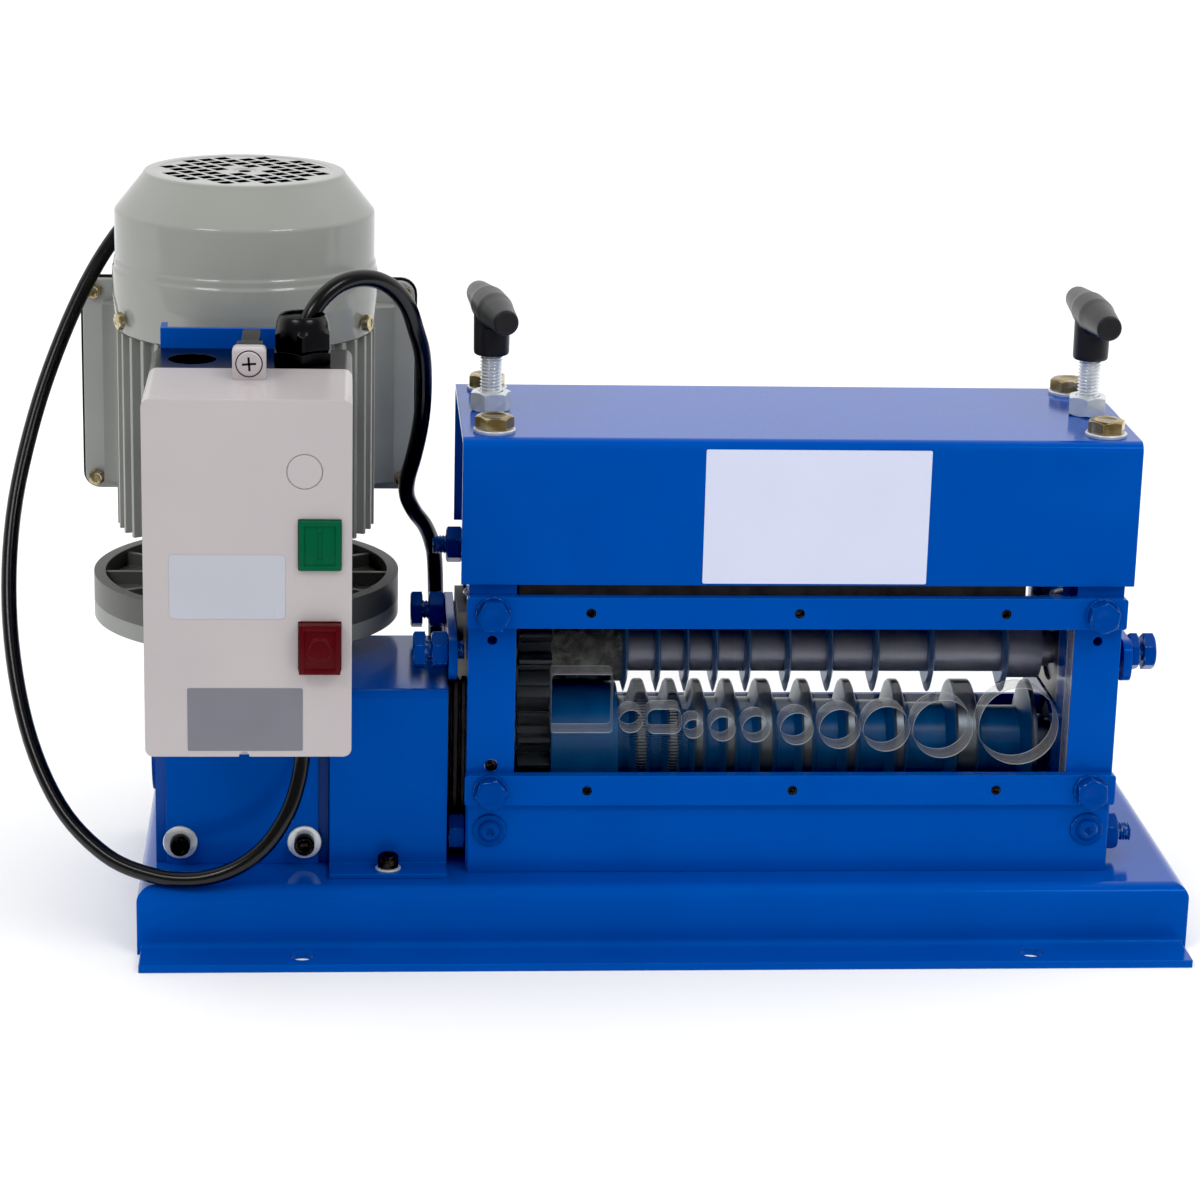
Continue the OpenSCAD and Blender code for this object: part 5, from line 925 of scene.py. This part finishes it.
def makeFanCover(s):
    outer = easeCorners(s["side"] + s["crown"], s["ease"])
    inner = s["under"] + [(r - s["sheet"], z) for r, z in s["inside"]]
    cover = tidyPiece("fanCover", turned([*outer, *inner, outer[0]], s["steps"], False), 25)
    punches = meshPiece("grillePunches", [(0, 0, 0)], [])
    lengths = {"Hole": "hole", "Step": "step", "Inner": "inner", "Outer": "outer", "High": "punch"}
    grow(punches, makePunchTree(), {**{label: s[key] * mm for label, key in lengths.items()},
                                    "Turn": math.radians(s["turn"]), "Finish": greySheet})
    punches.data.transform(Matrix.Translation((0, 0, s["top"] * mm)))
    cutAway(cover, punches)
    settle(cover, "frame", "grey_sheet", greySheet, "fan_cover")
    cover.data.materials.append(insideShade)
    # painted shade: the inside and the lower part of each punched wall take the black shade finish
    for face in cover.data.polygons:  # the inside and the lower part of each punched wall
        off, turn = face.center.xy.length, face.normal
        out = Vector((face.center.x, face.center.y, 0)).dot(turn) / max(off, 1e-6)
        if turn.z < -0.3 or (out < -0.3 and off > s["wall"] * mm) or (
                abs(turn.z) < 0.2 and off < s["grille"] * mm):
            face.material_index = 1
    cover.data.transform(Matrix.Translation(Vector((motorX, motorY, s["foot"])) * mm))
    smoothMesh(cover.data, 25)


makeFanCover(fanSizes)

# cord glands: a hexagon body and a domed cap nut, a corner of each towards the front
glandSizes = {"bodyFlats": 27, "body": 6, "capFlats": 26, "cap": 16.5, "bore": 10.3, "thread": 3.0}
g = glandSizes
glandSpots = [((-185, -80, 304), up), ((-185, -80, 131), down), ((-200, 147, 293.5), up)]
capSpots = [(Vector(p) + Vector(w) * g["body"], w, 0) for p, w in glandSpots]
hexPart = g["cap"] * 0.62
capShape = turned([(g["bore"], 0), (g["capFlats"] / 2 - 0.6, 0), lambda a: (hexRadius(g["capFlats"], a), 0.5),
                   lambda a: (hexRadius(g["capFlats"], a), hexPart - chamferDrop(g["capFlats"], a, 0.9)),
                   (12.9, hexPart + 0.2), (12.75, hexPart + 1.6), (12.35, hexPart + 3.2), (11.8, g["cap"] - 1.5),
                   (11.25, g["cap"] - 0.5), (10.8, g["cap"]), (g["bore"], g["cap"] - 0.5), (g["bore"], 0)], 60, False)
# the seal grips the cord a little below the rim
sealShape = turned([(g["bore"] + 0.2, g["cap"] - 4.5), (g["bore"] + 0.2, g["cap"] - 1.4), (9.2, g["cap"] - 1.9),
                    (5, g["cap"] - 2.6)])
fasten("black_plastic", [scatter("glandBodies", hexNut(g["bodyFlats"], g["body"], g["thread"], 0.4),
                                 [(p, w, 0) for p, w in glandSpots], blackPlastic)], "cable_glands")
fasten("cord_rubber", [scatter("glandSeals", sealShape, capSpots, cordRubber)])
fasten("black_plastic", [scatter("glandCaps", capShape, capSpots, blackPlastic, 30)], "gland_nuts")


# a box with eased edges
def easedBox(name, low, high, ease, rounds=3):
    corners = [(x, y, z) for x in (low[0], high[0]) for y in (low[1], high[1]) for z in (low[2], high[2])]
    faces = [(0, 1, 3, 2), (4, 6, 7, 5), (0, 4, 5, 1), (2, 3, 7, 6), (0, 2, 6, 4), (1, 5, 7, 3)]
    piece = meshPiece(name, corners, faces)
    step = piece.modifiers.new("ease", "BEVEL")
    step.width = ease * mm
    step.segments = rounds
    step.limit_method = "NONE"
    applyAll(piece)
    tidyMesh(piece.data, 40)
    return piece


# push buttons: a shallow framed cap; the start cap carries a plain bar, the stop cap a plain ring
buttonSizes = {"x": -176, "wide": 19.5, "high": 24, "face": -166, "rim": 2.5, "sunk": 0.7, "bar": (1.3, 6.9),
               "ring": [(4.9, -1), (4.9, 0.1), (5.2, 0.35), (5.6, 0.35), (5.9, 0.1), (5.9, -1), (4.9, -1)]}


# boxes that frame an opening, as (low x, low z, high x, high z) of the outside and of the opening
def framedBars(name, out, gap, y0, y1, ease):
    return [easedBox(name, (a, y0, c), (b, y1, d), ease) for a, b, c, d in (
        (out[0], gap[0], out[1], out[3]), (gap[2], out[2], out[1], out[3]),
        (gap[0] - 0.4, gap[2] + 0.4, out[1], gap[1]), (gap[0] - 0.4, gap[2] + 0.4, gap[3], out[3]))]


def makeButton(name, z, out, body, finish, slot, solid, s):
    x, y, w, h, rim, face = s["x"], s["face"] - out, s["wide"] / 2, s["high"] / 2, s["rim"], s["face"]
    cap = easedBox(name, (x - w + 0.3, y + s["sunk"] + 0.6, z - h + 0.3), (x + w - 0.3, face + 2.4, z + h - 0.3), 0.5)
    inside = (x - w + rim, z - h + rim, x + w - rim, z + h - rim)
    parts = framedBars("rim", (x - w, z - h, x + w, z + h), inside, y, face + 2.2, 0.45)
    if name == "startButton":  # a plain bar sunk in the cap
        u, v = s["bar"]
        parts += framedBars("floor", inside, (x - u, z - v, x + u, z + v), y + s["sunk"], y + 2, 0.15)
    else:  # a plain raised ring
        parts.append(easedBox("floor", (inside[0], y + s["sunk"], inside[1]), (inside[2], y + 2, inside[3]), 0.15))
        parts.append(tidyPiece("ring", turned(s["ring"], close=False)))
        standAt(parts[-1].data, (x, y + s["sunk"], z), front)
    stem = tidyPiece("stem", barAlong([(x, face + 2, z), (x, face + 12, z)], 10, 24))
    settle(gather(cap, stem, *parts), body, slot, finish, solid)


makeButton("startButton", 235, 2.5, "start_push", greenPlastic, "green_plastic", "start_button", buttonSizes)
makeButton("stopButton", 185.5, 6.5, "stop_push", redPlastic, "red_plastic", "stop_button", buttonSizes)

# starter: the two halves of the box, with the closing clip made apart from them
clipSizes = {"x": -209.5, "top": 304, "lug": (8, -125.5, -115.5, 15.4), "step": (6.6, -115.6, -104, 14.6),
             "tab": (4.4, -104.2, -76, 14.4), "screw": 6.0, "cross": (3.4, 0.62)}


# a copy of a solid without what stands above the box's top
def openTop(name, node, finish, slot, s):
    piece = link(bpy.data.objects.new(name, cad[node].data.copy()))
    tidyMesh(piece.data, 30)
    top = s["top"]
    cutAway(piece, easedBox("cutter", (s["x"] - 12, -132, top + 0.02), (s["x"] + 9.2, -84, top + 40), 0.1, 1))
    tidyMesh(piece.data, 30)
    flatFaces(piece.data)
    settle(piece, "frame", slot, finish, node)


def clipPart(name, s, part, ease, finish, slot):
    half, near, far, high = s[part]
    piece = easedBox(name, (s["x"] - half, near, s["top"] - 1.5), (s["x"] + half, far, s["top"] + high), ease, 5)
    settle(piece, "frame", slot, finish)


openTop("starterCover", "starter_cover", whitePlastic, "white_plastic", clipSizes)
openTop("starterBase", "starter_base", blackPlastic, "black_plastic", clipSizes)
clipPart("clipLug", clipSizes, "lug", 2.2, whitePlastic, "white_plastic")
clipPart("clipStep", clipSizes, "step", 1.2, blackPlastic, "black_plastic")
clipPart("clipTab", clipSizes, "tab", 1.2, blackPlastic, "black_plastic")
# its screw: a moulded head, with a black ring round it and a raised black cross on it, both painted shade for the gap
# round the head and its cross slot
c = clipSizes
screwSpot = (c["x"], c["lug"][1], c["top"] + 7.8)
headR, shadeIn, shadeOut = c["screw"], c["screw"] - 0.3, c["screw"] + 0.45
clipScrew = tidyPiece("clipScrew", turned([(headR - 0.1, -1), (headR - 0.1, 0.35), (headR - 0.5, 0.7), (3, 0.75)]))
clipSeat = tidyPiece("clipSeat", turned([(shadeIn, -0.6), (shadeOut, -0.6), (shadeOut, 0.06), (shadeIn, 0.06),
                                         (shadeIn, -0.6)], close=False))
for piece in (clipScrew, clipSeat):
    standAt(piece.data, screwSpot, front)
settle(clipScrew, "frame", "white_plastic", whitePlastic, "cover_screw")
crossShades = []
for turn in (4, 94):
    u, v = c["cross"]
    crossShades.append(easedBox("clipSlot", (-u, -v, 0.3), (u, v, 0.8), 0.12, 1))
    standAt(crossShades[-1].data, screwSpot, front, turn)
settle(gather(clipSeat, *crossShades), "frame", "black_plastic", blackPlastic)

# blue sleeve on the feed roller's left end, under the knurled roller
sleeveSizes = {"x": -57.9, "long": 35.2, "bore": 27.9, "out": 29.6}


def makeSleeve(s):
    bore, out, long = s["bore"], s["out"], s["long"]
    sleeve = tidyPiece("feedSleeve", turned([(bore, 0), (out - 0.4, 0), (out, 0.4), (out, long - 0.4),
                                             (out - 0.4, long), (bore, long), (bore, 0)], 96, False))
    standAt(sleeve.data, (s["x"], axisY, feedHigh), right)
    settle(sleeve, "feed_drive", "blue_paint", sleeveEnamel)


makeSleeve(sleeveSizes)

# dust boot: a pleated rubber sleeve round the feed shaft, from the drive cover to the left plate
bootSizes = {"y": (-37, 35.5), "z": (36, 128), "corner": 6, "wall": 3.5,
             "pleats": [(-112.0, 0), (-110.6, 0), (-109.4, 2.4), (-108.2, 0), (-106.4, 0), (-105.2, 2.4), (-104.0, 0),
                        (-102.6, 0)]}


def bootRing(x, inset, s):
    corner = s["corner"] - min(inset, s["corner"] - 0.5)
    low, high = ((s["y"][k] + off, s["z"][k] + off) for k, off in ((0, inset), (1, -inset)))
    return [(x, y, z) for y, z in roundedOutline(low, high, corner)]


bootRings = [bootRing(x, inset, bootSizes) for x, inset in bootSizes["pleats"]]
bootRings += [bootRing(x, inset + bootSizes["wall"], bootSizes) for x, inset in reversed(bootSizes["pleats"])]
settle(tidyPiece("dustBoot", skinRings(bootRings + bootRings[:1]), 25), "frame", "cord_rubber", rubberSheet)

# spare tapped hole in the left plate: a thin enamelled lip round a black disc, painted shade standing for the hole's
# depth
tapSizes = {"place": (-90.1, -66, 91.6), "hole": 3.1, "lip": 3.7}
hole, lip = tapSizes["hole"], tapSizes["lip"]
tapLip = turned([(hole, -0.2), (lip, -0.2), (lip - 0.2, 0.3), (hole, 0.25), (hole, -0.2)], 40, False)
tapFloor = turned([(hole + 0.1, -0.2), (hole + 0.1, 0.02), (0.6, 0.08)], 40)
for name, shape, finish, slot in (("tapLip", tapLip, boltEnamel, "blue_paint"),
                                  ("tapFloor", tapFloor, blackOxide, "black_oxide")):
    piece = tidyPiece(name, shape)
    standAt(piece.data, tapSizes["place"], front)
    settle(piece, "frame", slot, finish)

# flaps: dark rubber strips hung behind the rollers, and one over the top bar; their black is painted shade where the
# back and the guard's top edge lie in shadow
flapSizes = {"dustFlap": {"x": (-77, 204), "z": (124, 196), "y": 54.4, "thick": 1.6, "sag": 1.2},
             "dustFlapLow": {"x": (-77, -22), "z": (88, 134), "y": 51.0, "thick": 1.6, "sag": 0.8},
             "dustStrip": {"x": (-77.5, 180), "z": (178.4, 196), "y": -58.6, "thick": 1.6, "sag": 0.5}}


def makeFlap(name, s):
    spots, faces = [], []
    cols, rows = 60, 14
    for side in (0, s["thick"]):
        for i in range(cols + 1):
            for k in range(rows + 1):
                x = s["x"][0] + (s["x"][1] - s["x"][0]) * i / cols
                drop = 1 - k / rows
                y = s["y"] - side - s["sag"] * drop * (0.5 + 0.5 * math.sin(x * 0.11 + 1.3 * math.sin(x * 0.043)))
                spots.append((x, y, s["z"][0] + (s["z"][1] - s["z"][0]) * k / rows))
    sheet = (cols + 1) * (rows + 1)
    for i in range(cols):
        for k in range(rows):
            a = i * (rows + 1) + k
            quad = (a, a + 1, a + rows + 2, a + rows + 1)
            faces += [quad, tuple(sheet + p for p in reversed(quad))]
    rim = ([i * (rows + 1) for i in range(cols + 1)] + [cols * (rows + 1) + k for k in range(1, rows + 1)]
           + [i * (rows + 1) + rows for i in range(cols - 1, -1, -1)] + [k for k in range(rows - 1, 0, -1)])
    faces += [(a, b, sheet + b, sheet + a) for a, b in zip(rim, rim[1:] + rim[:1])]
    settle(tidyPiece(name, (spots, faces)), "frame", "cord_rubber", rubberSheet)


for name, size in flapSizes.items():
    makeFlap(name, size)

# rubber gasket behind the terminal box's flange, its edge showing all round, then the hood's own flange
gasketSizes = {"middle": (motorX, 247), "inner": (78.2, 46.7), "corner": 9}
gasketLayers = {"boxGasket": ((90.4, 58.9), (119.1, 121.1), blackPlastic, "cord_rubber"),
                "hoodFlange": ((89.0, 57.5), (121.1, 124.6), boxEnamel, "grey_sheet")}
g = gasketSizes
for name, (outer, ends, finish, slot) in gasketLayers.items():
    rings = []
    for half, end in ((outer, 0), (outer, 1), (g["inner"], 1), (g["inner"], 0), (outer, 0)):
        low, high = (tuple(m + way * h for m, h in zip(g["middle"], half)) for way in (-1, 1))
        rings.append([(x, ends[end], z) for x, z in roundedOutline(low, high, g["corner"])])
    settle(tidyPiece(name, skinRings(rings)), "frame", slot, finish)

# blank films: low and high corner on the face, then its y and corner radius
filmSpots = {"coverFilm": ((14, 189), (127, 258), -69.2, 0.8, whiteFilm, "white_plastic"),
             "starterFilm": ((-246, 199), (-192, 230), -166, 2.2, paleFilm, "white_plastic"),
             "ratingFilm": ((-238, 134), (-184, 165), -166, 0.8, silverFilm, "grey_sheet")}


def makeFilm(name, low, high, y, corner, finish, slot, thick=0.22):
    outline = roundedOutline(low, high, corner)
    count = len(outline)
    spots = [(x, d, z) for d in (y + 0.03, y - thick) for x, z in outline]
    faces = [tuple(range(count)), tuple(reversed(range(count, 2 * count)))]
    faces += [(k, (k + 1) % count, count + (k + 1) % count, count + k) for k in range(count)]
    piece = tidyPiece(name, (spots, faces), 40)
    flatFaces(piece.data)
    settle(piece, "frame", slot, finish)


for name, film in filmSpots.items():
    makeFilm(name, *film)

# tie round the coil: a moulded strap over the four runs where they stack, with its head on top
tieSizes = {"x": 40, "near": 234.4, "far": 253.2, "low": 0.9, "high": 18.3, "wide": 4.6, "thick": 1.3}


def makeTie(s):
    loop = easeCorners([(s["near"], 9), (s["near"], s["high"]), (s["far"], s["high"]), (s["far"], s["low"]),
                        (s["near"], s["low"]), (s["near"], 9)], 4.2, 6)
    middle = Vector(((s["near"] + s["far"]) / 2, (s["low"] + s["high"]) / 2))
    rings = []
    for y, z in loop:
        outward = (Vector((y, z)) - middle).normalized() * s["thick"] / 2
        rings.append([(s["x"] + dx * s["wide"] / 2, y + k * outward.x, max(z + k * outward.y, 0.15))
                      for dx, k in ((-1, -1), (1, -1), (1, 1), (-1, 1))])
    band = tidyPiece("coilTie", skinRings(rings))
    x, far, high = s["x"], s["far"], s["high"]
    head = easedBox("tieHead", (x - 3.6, far - 9, high - 0.3), (x + 3.6, far - 3, high + 4), 0.7)
    tail = easedBox("tieTail", (x - 2.2, far - 20, high + 1.4), (x + 2.2, far - 8, high + 2.6), 0.4)
    return settle(gather(band, head, tail), "frame", "black_plastic", blackPlastic)


coilTie = makeTie(tieSizes)
print("cover, glands, buttons, films and tie made")

# studio: a pale paper floor and wide soft lights in a white room
studio = {"floor": "#FBFBFB", "room": "#FFFFFF", "roomSeen": 1.0, "roomFront": 0.22, "zenith": 1.5, "horizon": 0.38,
          "below": 1.05, "floorFront": -0.5, "softbox": (0.8, 0.4),
          "lights": {"softLeft": ((-1.35, -1.55, 1.9), 10), "softRight": ((1.05, -1.55, 1.9), 10)}}


def makeStudio(s):
    world = bpy.data.worlds.new("studioWorld")
    bpy.context.scene.world = world
    world.use_nodes = True
    tree = world.node_tree
    back = tree.nodes["Background"]
    back.inputs["Color"].default_value = colour(s["room"])
    path = put(tree, "LightPath")
    way = put(tree, "SeparateXYZ", {0: put(tree, "TexCoord").outputs["Generated"]})
    sky = put(tree, "MapRange", {"Value": way.outputs[2], "From Min": 0.0, "From Max": 0.9,
                                 "To Min": s["horizon"], "To Max": s["zenith"]})
    under = put(tree, "MapRange", {"Value": way.outputs[2], "From Min": -0.02, "From Max": -0.05})
    wash = put(tree, "Mix", {0: under, 2: sky, 3: s["below"]})
    rear = put(tree, "MapRange", {"Value": way.outputs[1], "From Min": -0.25, "From Max": 0.3,
                                  "To Min": s["roomFront"], "To Max": s["roomSeen"]})
    lit = put(tree, "Mix", {0: path.outputs["Is Glossy Ray"], 2: wash, 3: rear})
    glow = put(tree, "Mix", {0: path.outputs["Is Camera Ray"], 2: lit, 3: s["roomSeen"]})
    tree.links.new(glow.outputs[0], back.inputs["Strength"])
    for name, (place, power) in s["lights"].items():
        data = bpy.data.lights.new(name, "AREA")
        data.shape = "RECTANGLE"
        data.size, data.size_y = s["softbox"]
        data.energy = power
        lamp = link(bpy.data.objects.new(name, data))
        lamp.location = place
        lamp.rotation_euler = (Vector((0, 0, 0.15)) - lamp.location).to_track_quat("-Z", "Y").to_euler()
    mesh = bpy.data.meshes.new("studioFloor")
    mesh.from_pydata([(-9, s["floorFront"], 0), (9, s["floorFront"], 0), (9, 9, 0), (-9, 9, 0)], [], [(0, 1, 2, 3)])
    floor = link(bpy.data.objects.new("studioFloor", mesh))
    paper = bpy.data.materials.new("paleStudioPaper")
    paper.use_nodes = True
    shader = paper.node_tree.nodes["Principled BSDF"]
    shader.inputs["Base Color"].default_value = colour(s["floor"])
    shader.inputs["Roughness"].default_value = 0.6
    mesh.materials.append(paper)


makeStudio(studio)
look = bpy.context.scene.view_settings
look.view_transform = "Standard"
look.use_curve_mapping = True  # the photograph's blacks are set a little above its veil
look.curve_mapping.black_level = (0.005, 0.005, 0.005)
look.curve_mapping.update()
print("studio lit")
